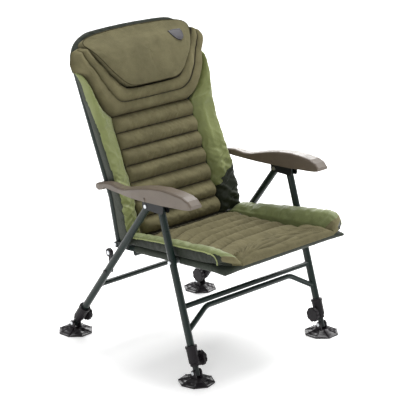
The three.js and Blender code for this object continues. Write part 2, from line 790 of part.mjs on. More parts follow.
// Seat frame: a bent tube with a rear bar and two flattened tongues for the back pivot
const railCorners = [
  spot(-railPlane, railEndRun, 0),
  spot(-railPlane, seatFrontRun, 0),
  spot(railPlane, seatFrontRun, 0),
  spot(railPlane, railEndRun, 0),
];
const railTube = bentTube(bentRoute(railCorners, seatCornerRadius), tubeRadius, tubeRadius - tubeWall);
const rearBar = rod(
  spot(-railPlane, seatRearBarRun, seatRearBarRise),
  spot(railPlane, seatRearBarRun, seatRearBarRise),
  barRadius,
);
const tongueInnerPlane = tongueOuterPlane - tongueThickness;
const tongues = sides.map(([, side]) => {
  const half = tongueHeight / 2;
  const outline = [
    [tongueStartRun, -half],
    ...arcPoints(backPivotRun, 0, half, -Math.PI / 2, Math.PI / 2, bendSteps),
    [tongueStartRun, half],
  ];
  const from = side > 0 ? tongueInnerPlane : -tongueOuterPlane;
  return sidePlate(outline, from, from + tongueThickness);
});
const railDrills = sides.flatMap(([, side]) => [
  crossRod(side, railPlane - 2 * tubeRadius, railPlane + 2 * tubeRadius, 0, 0, boltRadius + fitGap),
  crossRod(
    side, tongueInnerPlane - overrun, tongueOuterPlane + overrun, backPivotRun, 0, boltRadius + fitGap),
]);
add(seat, "seat_frame", paint.tube, cut(join(railTube, rearBar, ...tongues), ...railDrills));

sides.forEach(([word, side]) => {
  const railInner = railPlane - tubeRadius - fitGap;
  const railOuter = railPlane + tubeRadius + fitGap;
  const legInner = legPlane - tubeRadius - fitGap;
  steppedBolt(seat, `seat_pivot_bolt_${word}`, side, 0, 0, [
    [0, railInner - boltHeadHeight],
    [boltHeadRadius, railInner - boltHeadHeight],
    [boltHeadRadius, railInner],
    [boltRadius, railInner],
    [boltRadius, railOuter],
    [pivotShoulderRadius, railOuter],
    [pivotShoulderRadius, legInner],
    [boltRadius, legInner],
    [boltRadius, legOuter + fitGap],
    [boltHeadRadius, legOuter + fitGap],
    [boltHeadRadius, legOuter + fitGap + boltHeadHeight],
    [0, legOuter + fitGap + boltHeadHeight],
  ]);
  const backInner = backPlane - tubeRadius - fitGap;
  steppedBolt(seat, `back_pivot_bolt_${word}`, side, backPivotRun, 0, [
    [0, backInner - boltHeadHeight],
    [boltHeadRadius, backInner - boltHeadHeight],
    [boltHeadRadius, backInner],
    [boltRadius, backInner],
    [boltRadius, tongueOuterPlane + fitGap],
    [boltHeadRadius, tongueOuterPlane + fitGap],
    [boltHeadRadius, tongueOuterPlane + fitGap + boltHeadHeight],
    [0, tongueOuterPlane + fitGap + boltHeadHeight],
  ]);
});

// Seat sling: a sleeve round each rail and the cloth between them
const sleeveInner = tubeRadius + sleeveGap;
const sleeveOuter = sleeveInner + fabric;
const sideSleeveFront = seatFrontRun + seatCornerRadius + softGap;
const frontSleeveHalf = railPlane - seatCornerRadius - softGap;
const sleeves = sides.map(([, side]) =>
  pipe(
    spot(side * railPlane, sideSleeveFront, 0),
    spot(side * railPlane, seatSlingRear, 0),
    sleeveOuter,
    sleeveInner,
  ));
const frontSleeve = pipe(
  spot(-frontSleeveHalf, seatFrontRun, 0),
  spot(frontSleeveHalf, seatFrontRun, 0),
  sleeveOuter,
  sleeveInner,
);
const seatCloth = box(
  spot(-railPlane, sideSleeveFront, -sleeveOuter),
  spot(railPlane, seatSlingRear, -sleeveInner),
);
const frontCloth = box(
  spot(-frontSleeveHalf, seatFrontRun, -sleeveOuter),
  spot(frontSleeveHalf, sideSleeveFront + overrun, -sleeveInner),
);
const pivotCut = sides.map(([, side]) =>
  crossRod(
    side, railPlane - 2 * sleeveOuter, railPlane + 2 * sleeveOuter, 0, 0, pivotShoulderRadius + softGap));
const slingCloth = join(...sleeves, frontSleeve, seatCloth, frontCloth);
add(seat, "seat_sling", paint.darkCloth, cut(slingCloth, ...pivotCut));

const seatPlace = (run, rise, x) => spot(x, run, rise);
const padFloor = softGap - sleeveInner;
const barCover = sleeveOuter + softGap;

// Seat pad: one side-view outline with cross channels, thinner towards its sides
function seatPadOutline(fullness) {
  const frontFace = seatPadFront + (1 - fullness) * softGap;
  const top = [];
  const channels = Math.round((seatSplitRun - seatPadFront) / seatChannelPitch);
  const pitch = (seatSplitRun - seatPadFront - tubeRadius) / channels;
  for (let step = 0; step <= channels * 2; step += 1) {
    const run = seatSplitRun - (step * pitch) / 2;
    const lift = seatFrontLift * THREE.MathUtils.smoothstep(-run, -seatFrontRun / 2, -seatFrontRun);
    const rise = (step % 2 ? seatCrest : seatValley) + seatCrown * fullness + lift;
    const floor = run < seatFrontRun + 2 * barCover ? barCover : padFloor;
    top.push([run, floor + (rise - floor) * (0.55 + 0.45 * fullness)]);
  }
  return [
    ...top,
    [frontFace, barCover],
    [frontFace + barCover - seatFlapBottom, seatFlapBottom],
    [seatFrontRun - barCover, seatFlapBottom],
    [seatFrontRun - barCover, barCover],
    [seatFrontRun + barCover, barCover],
    [seatFrontRun + barCover, padFloor],
    [seatSplitRun, padFloor],
  ];
}
const acrossShares = [
  // place across, fullness
  [1, 0],
  [0.96, 0.55],
  [0.82, 0.9],
  [0.45, 1],
];
const seatPadStations = mirrored(acrossShares).map(([share, fullness]) => ({
  at: share * seatPadHalfWidth,
  outline: seatPadOutline(fullness),
}));
add(seat, "seat_pad", paint.fleece, loft(seatPadStations, seatPlace));

// Side bolsters: a cross section that stands on the sleeved rail and leans in to the pad
const railCover = sleeveOuter + softGap;
const railSide = railPlane - tubeRadius - fitGap - boltHeadHeight - softGap;
const bolsterShares = [
  // place from front to split, height, fullness of the bottom, rounding of the front corner
  [0, 0.55, 0, 1],
  [0.02, 0.8, 0, 0.97],
  [0.08, 0.93, 0, 0.8],
  [0.2, 0.96, 0, 0.3],
  [0.215, 0.96, 1, 0.27],
  [0.4, 0.97, 1, 0],
  [0.75, 0.9, 1, 0],
  [1, 0.8, 1, 0],
];

function bolsterOutline(height, bottomShare, rounding) {
  const inner = seatPadHalfWidth + softGap;
  const bottom = THREE.MathUtils.lerp(barCover, padFloor, bottomShare);
  return [
    [bolsterOuter, railCover + bolsterCurl * rounding],
    [bolsterOuter + fabric, height * 0.5 + bolsterCurl * rounding * 0.5],
    [bolsterOuter - fabric, height * 0.86],
    [railPlane + barRadius / 2, height],
    [railPlane - barRadius, height * 0.97],
    [railPlane - 2 * tubeRadius, height * 0.62],
    [inner, seatValley + fabric + (1 - bottomShare) * seatFrontLift],
    [inner, bottom],
    [railSide, bottom],
    [railSide, railCover],
  ];
}

sides.forEach(([word, side]) => {
  const stations = bolsterShares.map(([share, height, bottomShare, rounding]) => ({
    at: [THREE.MathUtils.lerp(bolsterFront, seatSplitRun - softGap, share), rounding],
    outline: bolsterOutline(height * bolsterHeight, bottomShare, rounding),
  }));
  const placeAt = (across, rise, [run, rounding]) => {
    const out = (across - seatPadHalfWidth) / (bolsterOuter - seatPadHalfWidth);
    return spot(side * across, run + bolsterRound * rounding * out * out, rise);
  };
  add(seat, `seat_bolster_${word}`, paint.greenCloth, loft(stations, placeAt));
});

// Rear end of the seat padding, full width: the part that creases when the back folds
const rearPadShares = [
  // place from split to rear, channel (0 valley, 1 crest), side height
  [0, 0, 0.8],
  [0.16, 1, 0.76],
  [0.33, 0, 0.71],
  [0.5, 1, 0.66],
  [0.67, 0, 0.6],
  [0.84, 1, 0.55],
  [1, 0, 0.5],
];
const rearPadStations = rearPadShares.map(([share, channel, height]) => {
  const mat = THREE.MathUtils.lerp(seatValley, seatCrest, channel);
  const side = height * bolsterHeight;
  const half = [
    [railSide, seatRearBarRise + barRadius + softGap],
    [railSide, railCover],
    [bolsterOuter, railCover],
    [bolsterOuter + fabric, side * 0.6],
    [bolsterOuter - fabric, side * 0.9],
    [railPlane + barRadius / 2, side],
    [railPlane - barRadius, side * 0.97],
    [railPlane - 2 * tubeRadius, side * 0.62],
    [seatPadHalfWidth, mat],
    [seatPadHalfWidth * 0.45, mat + seatCrown],
  ];
  return { at: THREE.MathUtils.lerp(seatSplitRun, seatPadRear, share), outline: mirrored(half) };
});
add(seat, "seat_pad_rear", paint.fleece, loft(rearPadStations, (x, rise, run) => spot(x, run, rise)));

// Backrest: places are given across, up the bent tube and out towards the sitter
function stepUp([back, up], distance, lean) {
  return [back + distance * Math.sin(lean), up + distance * Math.cos(lean)];
}

const leanAt = (run) =>
  THREE.MathUtils.lerp(
    backLowerLean, backUpperLean, THREE.MathUtils.clamp((run - backBendStart) / backBendLength, 0, 1));

function backPlace(x, run, front) {
  const lower = Math.min(run, backBendStart);
  const bent = THREE.MathUtils.clamp(run - backBendStart, 0, backBendLength);
  const upper = Math.max(run - backBendStart - backBendLength, 0);
  const lean = leanAt(run);
  const bendTop = stepUp(stepUp([0, 0], lower, backLowerLean), bent, (backLowerLean + lean) / 2);
  const [back, up] = stepUp(bendTop, upper, backUpperLean);
  return spot(x, back - front * Math.cos(lean), up + front * Math.sin(lean));
}

const backTubeRoute = bentRoute(
  [
    backPlace(-backPlane, -backTubeBelowPivot, 0),
    backPlace(-backPlane, backBendStart + backBendLength / 2, 0),
    backPlace(-backPlane, backTopRun, 0),
    backPlace(backPlane, backTopRun, 0),
    backPlace(backPlane, backBendStart + backBendLength / 2, 0),
    backPlace(backPlane, -backTubeBelowPivot, 0),
  ],
  backCornerRadius,
);
const backTube = toSolid(bentTube(backTubeRoute, tubeRadius, tubeRadius - tubeWall));
const studs = sides.map(([, side]) => {
  const inner = backPlace(side * (backPlane + tubeRadius - weldDepth), catchStudUp, 0);
  const outer = backPlace(side * (backPlane + tubeRadius + catchStudHeight), catchStudUp, 0);
  return rod(inner, outer, catchStudRadius);
});
const backDrills = sides.map(([, side]) =>
  crossRod(side, backPlane - 2 * tubeRadius, backPlane + 2 * tubeRadius, 0, 0, boltRadius + fitGap));
const studded = studs.map(toSolid).reduce((whole, stud) => whole.add(stud), backTube);
add(backrest, "back_frame", paint.tube, cut(studded, ...backDrills));

const backSheet = (run) => ({
  at: run,
  outline: [
    [-backPlane - tubeRadius, sleeveInner],
    [backPlane + tubeRadius, sleeveInner],
    [backPlane + tubeRadius, sleeveOuter],
    [-backPlane - tubeRadius, sleeveOuter],
  ],
});
const acrossBack = (x, front, run) => backPlace(x, run, front);
const bendRuns = [backBendStart, backBendStart + backBendLength / 2, backBendStart + backBendLength];
const sheetRuns = [wingBottomRun + barRadius, ...bendRuns, backSlingTop];
add(backrest, "back_sling", paint.darkCloth, loft(sheetRuns.map(backSheet), acrossBack));

// Head pocket: an open-bottomed cloth cap over the top of the back tube
function pocketOutline(offset, bottomRun) {
  const half = backPlane + offset;
  const corner = backCornerRadius + offset;
  const top = backTopRun + offset;
  return [
    [half, bottomRun],
    ...arcPoints(half - corner, top - corner, corner, 0, Math.PI / 2, bendSteps),
    ...arcPoints(corner - half, top - corner, corner, Math.PI / 2, Math.PI, bendSteps),
    [-half, bottomRun],
  ];
}
function pocketSlab(offset, bottomRun) {
  const outline = pocketOutline(offset, bottomRun);
  const stations = [{ at: -offset, outline }, { at: offset, outline }];
  return loft(stations, (x, run, front) => backPlace(x, run, front));
}
const pocketShell = cut(
  toSolid(pocketSlab(sleeveOuter, pocketBottom)),
  pocketSlab(sleeveInner, pocketBottom - overrun),
);
add(backrest, "head_pocket", paint.darkCloth, pocketShell);

// Quilted rolls: a side-view outline of arcs between seams, skinned across the pad
const seamShares = [
  // way down from the top seam to the bottom of the pad, height as a share of the lowest one
  [0, 0.455],
  [0.1432, 0.455],
  [0.2864, 0.477],
  [0.4297, 0.432],
  [0.5729, 0.375],
  [0.7161, 0.5],
  [0.8593, 0.864],
  [1, 1],
];
const rollCount = seamShares.length - 1;

function rollOutline(firstSeam, lastSeam, fullness) {
  const top = [];
  const seams = seamShares.map(([run, height]) => [
    THREE.MathUtils.lerp(firstSeamRun, rollsBottomRun, run),
    height * bottomSeamFront,
  ]);
  const drop = (1 - fullness) * seamTuck;
  const steps = 4;
  for (let seam = firstSeam; seam < lastSeam; seam += 1) {
    for (let step = 0; step < steps; step += 1) {
      const share = step / steps;
      const run = THREE.MathUtils.lerp(seams[seam][0], seams[seam + 1][0], share);
      const floor = THREE.MathUtils.lerp(seams[seam][1], seams[seam + 1][1], share);
      const bulge = rollBulge * Math.sqrt(Math.sin(Math.PI * share)) * (0.4 + 0.6 * fullness);
      top.push([run, floor + bulge - drop]);
    }
  }
  const endRun = seams[lastSeam][0] + softGap / 2;
  const startRun = seams[firstSeam][0] - softGap / 2;
  top.push([endRun, seams[lastSeam][1] - drop]);
  top[0][0] = startRun;
  const bends = bendRuns.filter((run) => run > endRun + softGap && run < startRun - softGap);
  return [...top, [endRun, padBack], ...bends.map((run) => [run, padBack]), [startRun, padBack]];
}
const padPlace = (run, front, x) => backPlace(x, run, front);

function rollPad(name, firstSeam, lastSeam) {
  const stations = mirrored(acrossShares).map(([share, fullness]) => ({
    at: share * (padHalfWidth - softGap / 2),
    outline: rollOutline(firstSeam, lastSeam, fullness),
  }));
  add(backrest, name, paint.fleece, loft(stations, padPlace));
}
const lowerPadSeam = rollCount - 2;
rollPad("back_pad", 0, lowerPadSeam);
rollPad("back_pad_lower", lowerPadSeam, rollCount);

// Head bands: two bulged bands that run in a U below and beside the headrest
const bandShares = [
  // inner edge across and up, outer edge across and up, height at the outer edge
  [0.17, 0.258, 0.3, 0, 0.4],
  [0.34, 0.262, 0.7, 0, 0.42],
  [0.43, 0.268, 0.775, 0.087, 0.55],
  [0.51, 0.305, 0.875, 0.25, 0.7],
  [0.61, 0.405, 0.935, 0.37, 0.76],
  [0.72, 0.555, 0.97, 0.508, 0.76],
  [0.8, 0.66, 1.045, 0.59, 0.74],
  [0.872, 0.745, 1.045, 0.7, 0.72],
  [0.925, 0.83, 1.01, 0.8, 0.65],
  [0.925, 0.885, 0.955, 0.875, 0.5],
];
const upHead = (share) => firstSeamRun + share * headHeight;
const bandStations = bandShares.map(([innerX, innerUp, outerX, outerUp, height]) => [
  [innerX * backHalfWidth, upHead(innerUp)],
  [outerX * backHalfWidth, upHead(outerUp) + softGap / 2],
  height,
]);
const mirroredBands = bandStations.map(([[innerX, innerRun], [outerX, outerRun], height]) => [
  [-innerX, innerRun],
  [-outerX, outerRun],
  height,
]);
const bandRoute = [...mirroredBands.reverse(), ...bandStations];
const bandSteps = 4;
const bandOutline = [[0, 0]];
for (let band = 0; band < 2; band += 1) {
  for (let step = 0; step < bandSteps; step += 1) {
    const share = step / bandSteps;
    bandOutline.push([(band + share) / 2, 1 + bandBulge * Math.sqrt(Math.sin(Math.PI * share))]);
  }
}
bandOutline.push([1, 1], [1, 0]);
const bandPlace = (share, lift, at) => {
  const [inner, outer, outerHeight] = bandRoute[at];
  const x = THREE.MathUtils.lerp(inner[0], outer[0], share);
  const run = THREE.MathUtils.lerp(inner[1], outer[1], share);
  return backPlace(x, run, padBack + lift * bandHeight * THREE.MathUtils.lerp(1, outerHeight, share));
};
const bandRows = bandRoute.map((unused, at) => ({ at, outline: bandOutline }));
add(backrest, "head_bands", paint.fleece, loft(bandRows, bandPlace));

// Wings: wedge bolsters, thick at the outer edge and thin at the pad; their inner edge follows the bands
const bandEdges = bandShares.map(([, , outerX, outerUp]) => [upHead(outerUp), outerX]).slice(1);
const wingShares = [
  // run, height at the outer edge, height at the inner edge
  [0, 0.95, 0.34],
  [0.1, 0.99, 0.34],
  [0.2, 0.92, 0.34],
  [0.3, 0.83, 0.34],
  [0.4, 0.75, 0.34],
  [0.55, 0.62, 0.34],
  [0.65, 0.63, 0.36],
  [0.716, 0.72, 0.45],
  [0.79, 0.88, 0.66],
  [0.86, 1.02, 0.86],
  [0.93, 1.06, 0.94],
  [1, 0.95, 0.85],
];
const between = (table, place) => {
  const found = table.findIndex(([start]) => start >= place - mergeStep);
  const index = THREE.MathUtils.clamp(found, 1, table.length - 1);
  const before = table[index - 1];
  const after = table[index];
  const share = THREE.MathUtils.clamp((place - before[0]) / (after[0] - before[0]), 0, 1);
  return before.map((value, column) => THREE.MathUtils.lerp(value, after[column], share));
};
function wingOutline(run) {
  const edgeShare = run < firstSeamRun - softGap ? padWidthShare : between(bandEdges, run)[1];
  const inner = edgeShare * backHalfWidth + softGap / 2;
  const upWing = (run - wingBottomRun) / (wingTopRun - wingBottomRun);
  const [, outerHeight, innerHeight] = between(wingShares, upWing);
  const low = innerHeight * wingHeight;
  const height = outerHeight * wingHeight;
  const width = backHalfWidth - inner;
  return [
    [inner, padBack],
    [inner, low],
    [inner + width * 0.35, THREE.MathUtils.lerp(low, height, 0.55)],
    [inner + width * 0.7, THREE.MathUtils.lerp(low, height, 0.93)],
    [inner + width * 0.9, height],
    [backHalfWidth - softGap, height * 0.93],
    [backHalfWidth, padBack + rollBulge],
    [backHalfWidth - softGap, padBack],
  ];
}
function wing(name, side, lowRun, highRun) {
  const shareRuns = wingShares.map(([share]) => THREE.MathUtils.lerp(wingBottomRun, wingTopRun, share));
  const edgeRuns = bandEdges.map(([run]) => run);
  const inner = [...shareRuns, ...edgeRuns, ...bendRuns].filter(
    (run) => run > lowRun + overrun && run < highRun - overrun);
  const stops = [lowRun, ...inner.sort((first, second) => first - second), highRun];
  const stations = stops.map((run) => ({ at: run, outline: wingOutline(run) }));
  const placeAt = (across, front, run) => backPlace(side * across, run, front);
  add(backrest, name, paint.greenCloth, loft(stations, placeAt));
}
sides.forEach(([word, side]) => {
  wing(`back_wing_lower_${word}`, side, wingBottomRun, wingSplitRun - softGap / 2);
  wing(`back_wing_${word}`, side, wingSplitRun + softGap / 2, wingTopRun);
});

// Headrest: a crowned six-sided pillow inside the bands
const headrestShares = [
  // height, half width, fullness
  [0.275, 0.36, 0.6],
  [0.3, 0.44, 0.8],
  [0.36, 0.52, 0.95],
  [0.48, 0.62, 1],
  [0.64, 0.745, 0.97],
  [0.76, 0.84, 0.89],
  [0.845, 0.905, 0.78],
  [0.905, 0.86, 0.66],
  [0.95, 0.7, 0.5],
  [0.975, 0.46, 0.34],
];
const headrestAcross = [
  // place across, height
  [1, 0.62],
  [0.985, 0.8],
  [0.93, 0.9],
  [0.68, 0.97],
  [0.3, 1],
];
const headrestRows = headrestShares.map(([share, width, fullness]) => {
  const half = width * backHalfWidth - 2 * softGap;
  const crown = headrestCrown * fullness;
  const across = headrestAcross.map(([place, height]) => [place * half, padBack + crown * height]);
  return { at: upHead(share), outline: mirrored([[half, padBack], ...across]) };
});
add(backrest, "headrest", paint.fleece, loft(headrestRows, acrossBack));

// The chair stands over the middle of its footprint
const footprint = new THREE.Box3().setFromObject(chair);
chair.position.y = -(footprint.min.y + footprint.max.y) / 2;

export default chair;
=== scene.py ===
import json
import math

import bmesh
import bpy
import numpy as np
from mathutils import Matrix, Vector


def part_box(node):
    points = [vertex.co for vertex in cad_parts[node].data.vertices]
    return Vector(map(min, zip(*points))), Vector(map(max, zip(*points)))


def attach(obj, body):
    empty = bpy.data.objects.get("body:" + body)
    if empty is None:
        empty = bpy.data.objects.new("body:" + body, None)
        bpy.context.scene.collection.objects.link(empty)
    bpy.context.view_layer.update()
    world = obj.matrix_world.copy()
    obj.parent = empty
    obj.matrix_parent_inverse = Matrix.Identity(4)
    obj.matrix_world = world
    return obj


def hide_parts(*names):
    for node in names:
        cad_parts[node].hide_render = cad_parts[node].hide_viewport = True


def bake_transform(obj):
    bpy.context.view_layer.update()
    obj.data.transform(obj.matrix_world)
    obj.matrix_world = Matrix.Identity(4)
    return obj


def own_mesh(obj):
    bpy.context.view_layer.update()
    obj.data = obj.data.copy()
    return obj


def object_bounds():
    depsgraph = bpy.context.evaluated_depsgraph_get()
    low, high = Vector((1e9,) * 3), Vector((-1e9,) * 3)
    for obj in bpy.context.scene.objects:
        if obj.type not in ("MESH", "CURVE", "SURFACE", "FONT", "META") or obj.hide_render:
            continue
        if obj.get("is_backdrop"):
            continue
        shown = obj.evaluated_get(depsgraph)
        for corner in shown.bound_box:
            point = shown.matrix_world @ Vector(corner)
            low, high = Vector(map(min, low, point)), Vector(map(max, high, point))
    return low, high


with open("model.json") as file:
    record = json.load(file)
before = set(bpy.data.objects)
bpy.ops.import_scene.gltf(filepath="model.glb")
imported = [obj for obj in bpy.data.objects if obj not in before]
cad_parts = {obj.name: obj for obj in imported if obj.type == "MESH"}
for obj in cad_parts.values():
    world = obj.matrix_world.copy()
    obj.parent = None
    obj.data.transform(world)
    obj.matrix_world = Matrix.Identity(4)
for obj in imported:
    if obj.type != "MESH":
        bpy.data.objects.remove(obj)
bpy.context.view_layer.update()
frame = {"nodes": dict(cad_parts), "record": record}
nodes = frame["nodes"]
MM = 0.001

# Places in the row frame, in millimetres, as in the CAD source
SHIFT = 24.4918
SEAT_PIVOT = (-174.0, 339.0)
SEAT_LEAN = math.radians(4.4)
BACK_PIVOT_RUN = 271.5
BACK_PIVOT = (SEAT_PIVOT[0] + BACK_PIVOT_RUN * math.cos(SEAT_LEAN),
              SEAT_PIVOT[1] - BACK_PIVOT_RUN * math.sin(SEAT_LEAN))
LEAN_LOW, LEAN_HIGH = math.radians(12.7), math.radians(23.4)
BEND_START, BEND_LENGTH = 112.0, 56.0
HALF = 235.0
PAD_HALF = 161.3
PAD_BACK = 13.4
ROLL_PITCH = 50.7
FIRST_SEAM = 366.0
HEAD_HEIGHT = 264.0
SEAMS = 44.0 * np.array([0.455, 0.455, 0.477, 0.432, 0.375, 0.5, 0.864, 1.0])
RAIL_HALF, FRONT_RAIL = 233.0, -182.0
SIDES = ((-1, "left"), (1, "right"))


def seat_place(x, run, rise):
    """Points in metres from places on the seat: across, towards the rear and up from its rails."""
    x, run, rise = np.broadcast_arrays(x, run, rise)
    back = SEAT_PIVOT[0] + SHIFT + run * math.cos(SEAT_LEAN) + rise * math.sin(SEAT_LEAN)
    up = SEAT_PIVOT[1] - run * math.sin(SEAT_LEAN) + rise * math.cos(SEAT_LEAN)
    return np.stack([x, back, up], -1) * MM


# The back tube's side line, whose lean grows over the bend
BEND_RUNS = np.linspace(-60, 700, 1521)
bend_share = np.clip((BEND_RUNS - BEND_START) / BEND_LENGTH, 0, 1)
LEANS = LEAN_LOW + (LEAN_HIGH - LEAN_LOW) * bend_share * bend_share * (3 - 2 * bend_share)
middle_leans = (LEANS[1:] + LEANS[:-1]) / 2
LINE = []
for part in (np.sin(middle_leans), np.cos(middle_leans)):
    along = np.concatenate([[0], np.cumsum(part * (BEND_RUNS[1] - BEND_RUNS[0]))])
    LINE.append(along - np.interp(0, BEND_RUNS, along))


def back_place(x, run, front):
    """Points in metres from places on the back: across, up along its tube and forward from the tube."""
    x, run, front = np.broadcast_arrays(x, run, front)
    lean = np.interp(run, BEND_RUNS, LEANS)
    back = BACK_PIVOT[0] + SHIFT + np.interp(run, BEND_RUNS, LINE[0]) - front * np.cos(lean)
    up = BACK_PIVOT[1] + np.interp(run, BEND_RUNS, LINE[1]) + front * np.sin(lean)
    return np.stack([x, back, up], -1) * MM


def smooth(low, high, value):
    """A soft step from 0 at low to 1 at high."""
    t = np.clip((np.asarray(value, float) - low) / (high - low), 0, 1)
    return t * t * (3 - 2 * t)


def spline(table, places):
    """Values at places on a smooth curve through a table's rows, whose first column is the place."""
    table = np.asarray(table, float)
    t, rest = table[:, 0], table[:, 1:]
    slopes = np.gradient(rest, t, axis=0)
    index = np.clip(np.searchsorted(t, places, side="right") - 1, 0, len(t) - 2)
    width = t[index + 1] - t[index]
    u = (np.asarray(places) - t[index]) / width
    h = [2 * u**3 - 3 * u**2 + 1, u**3 - 2 * u**2 + u, -2 * u**3 + 3 * u**2, u**3 - u**2]
    ends = rest[index], rest[index + 1]
    rises = slopes[index] * width[:, None], slopes[index + 1] * width[:, None]
    parts = (ends[0], rises[0], ends[1], rises[1])
    return sum(w[:, None] * p for w, p in zip(h, parts))


def steps_along(points):
    """Length along a row of points up to each of them."""
    return np.concatenate([[0], np.cumsum(np.linalg.norm(np.diff(points, axis=0), axis=1))])


def spaced(points, count, closed=False):
    """Evenly spaced points along a row or loop, their lengths along it and those of the given points."""
    if closed:
        points = np.vstack([points, points[:1]])
    lengths = steps_along(points)
    marks = np.linspace(0, lengths[-1], count, endpoint=not closed)
    fine = np.stack([np.interp(marks, lengths, column) for column in np.transpose(points)], -1)
    return fine, marks, lengths


def evened(row):
    """The inner points of a row, each drawn towards its neighbours."""
    return (row[:-2] + 2 * row[1:-1] + row[2:]) / 4


def stretches(*parts):
    """Places in evenly spaced stretches, each given as its first, its last and their count."""
    return np.concatenate([np.linspace(*part) for part in parts])


def full_turn(count):
    return np.linspace(0, 2 * math.pi, count, endpoint=False)


def soft_noise(a, b, scale_a, scale_b, seed):
    """Smooth seeded noise from -1 to 1 over two coordinates, with feature sizes scale_a and scale_b."""
    grid = np.random.default_rng(seed).uniform(-1, 1, (64, 64))
    p, q = np.asarray(a, float) / scale_a + 1000, np.asarray(b, float) / scale_b + 1000
    i, j = np.floor(p).astype(int), np.floor(q).astype(int)
    u, v = p - i, q - j
    u, v = u * u * (3 - 2 * u), v * v * (3 - 2 * v)
    pick = lambda m, n: grid[m % 64, n % 64]
    low = pick(i, j) * (1 - u) + pick(i + 1, j) * u
    high = pick(i, j + 1) * (1 - u) + pick(i + 1, j + 1) * u
    return low * (1 - v) + high * v


def scene_object(name, data):
    thing = bpy.data.objects.new(name, data)
    bpy.context.scene.collection.objects.link(thing)
    return thing


def mesh_object(name, points, faces, materials, face_slots, smooth_angle):
    """A shaded object from points and faces, with a material slot for each face."""
    mesh = bpy.data.meshes.new(name)
    mesh.from_pydata([tuple(p) for p in points], [], [tuple(f) for f in faces])
    for material in materials:
        mesh.materials.append(material)
    mesh.polygons.foreach_set("material_index", np.asarray(face_slots, np.int32))
    mesh.update()
    mesh.validate()
    thing = scene_object(name, mesh)
    shade(thing, smooth_angle)
    return thing


def shade(thing, angle):
    """Smooth shading, with sharp edges above an angle in degrees unless it is None."""
    thing.data.shade_smooth()
    if angle is None:
        return
    with bpy.context.temp_override(object=thing, active_object=thing, selected_objects=[thing],
                                   selected_editable_objects=[thing]):
        bpy.ops.object.shade_smooth_by_angle(angle=math.radians(angle))


def skin(name, grid, materials, slots=None, closed=True, caps=True, smooth_angle=60, creases=None):
    """A surface through rows of points. Closed rows are loops, caps fill the end ones."""
    grid = np.asarray(grid)
    rows, columns = grid.shape[:2]
    points = list(grid.reshape(-1, 3))
    faces, marks = [], []
    last = columns if closed else columns - 1
    for row in range(rows - 1):
        for column in range(last):
            a, b = row * columns + column, row * columns + (column + 1) % columns
            faces.append((a, b, b + columns, a + columns))
            marks.append(0 if slots is None else int(slots[row, column]))
    if caps == "flat":
        for row in (0, rows - 1):
            faces.append(tuple(range(row * columns, (row + 1) * columns)))
            marks.append(0)
    elif closed and caps:
        for row, turn in ((0, True), (rows - 1, False)):
            centre = len(points)
            points.append(grid[row].mean(0))
            for column in range(columns):
                a, b = row * columns + column, row * columns + (column + 1) % columns
                faces.append((b, a, centre) if turn else (a, b, centre))
                marks.append(0 if slots is None else int(slots[row, column]))
    thing = mesh_object(name, points, faces, materials, marks, smooth_angle)
    outward(thing)
    # Painted shade: the crease values go into the crease attribute, which darkens the fleece colour.
    if creases is not None:
        depth = np.zeros(len(thing.data.vertices), np.float32)
        depth[:creases.size] = np.clip(creases.ravel(), 0, 1)
        thing.data.attributes.new("crease", "FLOAT", "POINT").data.foreach_set("value", depth)
    return thing


def unmarked(grid):
    """Material slots and painted crease shade for a grid, all zero."""
    return np.zeros(grid.shape[:2], int), np.zeros(grid.shape[:2])


def outward(thing):
    """Turns all faces outward."""
    work = bmesh.new()
    work.from_mesh(thing.data)
    bmesh.ops.recalc_face_normals(work, faces=work.faces)
    work.to_mesh(thing.data)
    work.free()


def tube(name, path, radius, material, sides=10, closed=False):
    """A round tube that follows a row of points."""
    tangent = np.roll(path, -1, 0) - np.roll(path, 1, 0) if closed else np.gradient(path, axis=0)
    tangent /= np.linalg.norm(tangent, axis=1)[:, None] + 1e-12
    normal = np.cross(tangent[0], (0.3, 0.5, 0.81))
    normal /= np.linalg.norm(normal)
    rows = []
    for place, direction in zip(path, tangent):
        normal = normal - direction * normal.dot(direction)
        normal /= np.linalg.norm(normal)
        other = np.cross(direction, normal)
        rows.append([place + radius * (math.cos(a) * normal + math.sin(a) * other) for a in full_turn(sides)])
    if closed:
        rows.append(rows[0])
    return skin(name, rows, [material], smooth_angle=None, caps=not closed)


def thinned(values, picks, count):
    """Values known at some places along the first axis, worked out for all of them."""
    places = np.arange(count)
    index = np.clip(np.searchsorted(picks, places, side="right") - 1, 0, len(picks) - 2)
    share = (places - picks[index]) / (picks[index + 1] - picks[index])
    share = share.reshape(-1, *[1] * (values.ndim - 1))
    return values[index] * (1 - share) + values[index + 1] * share


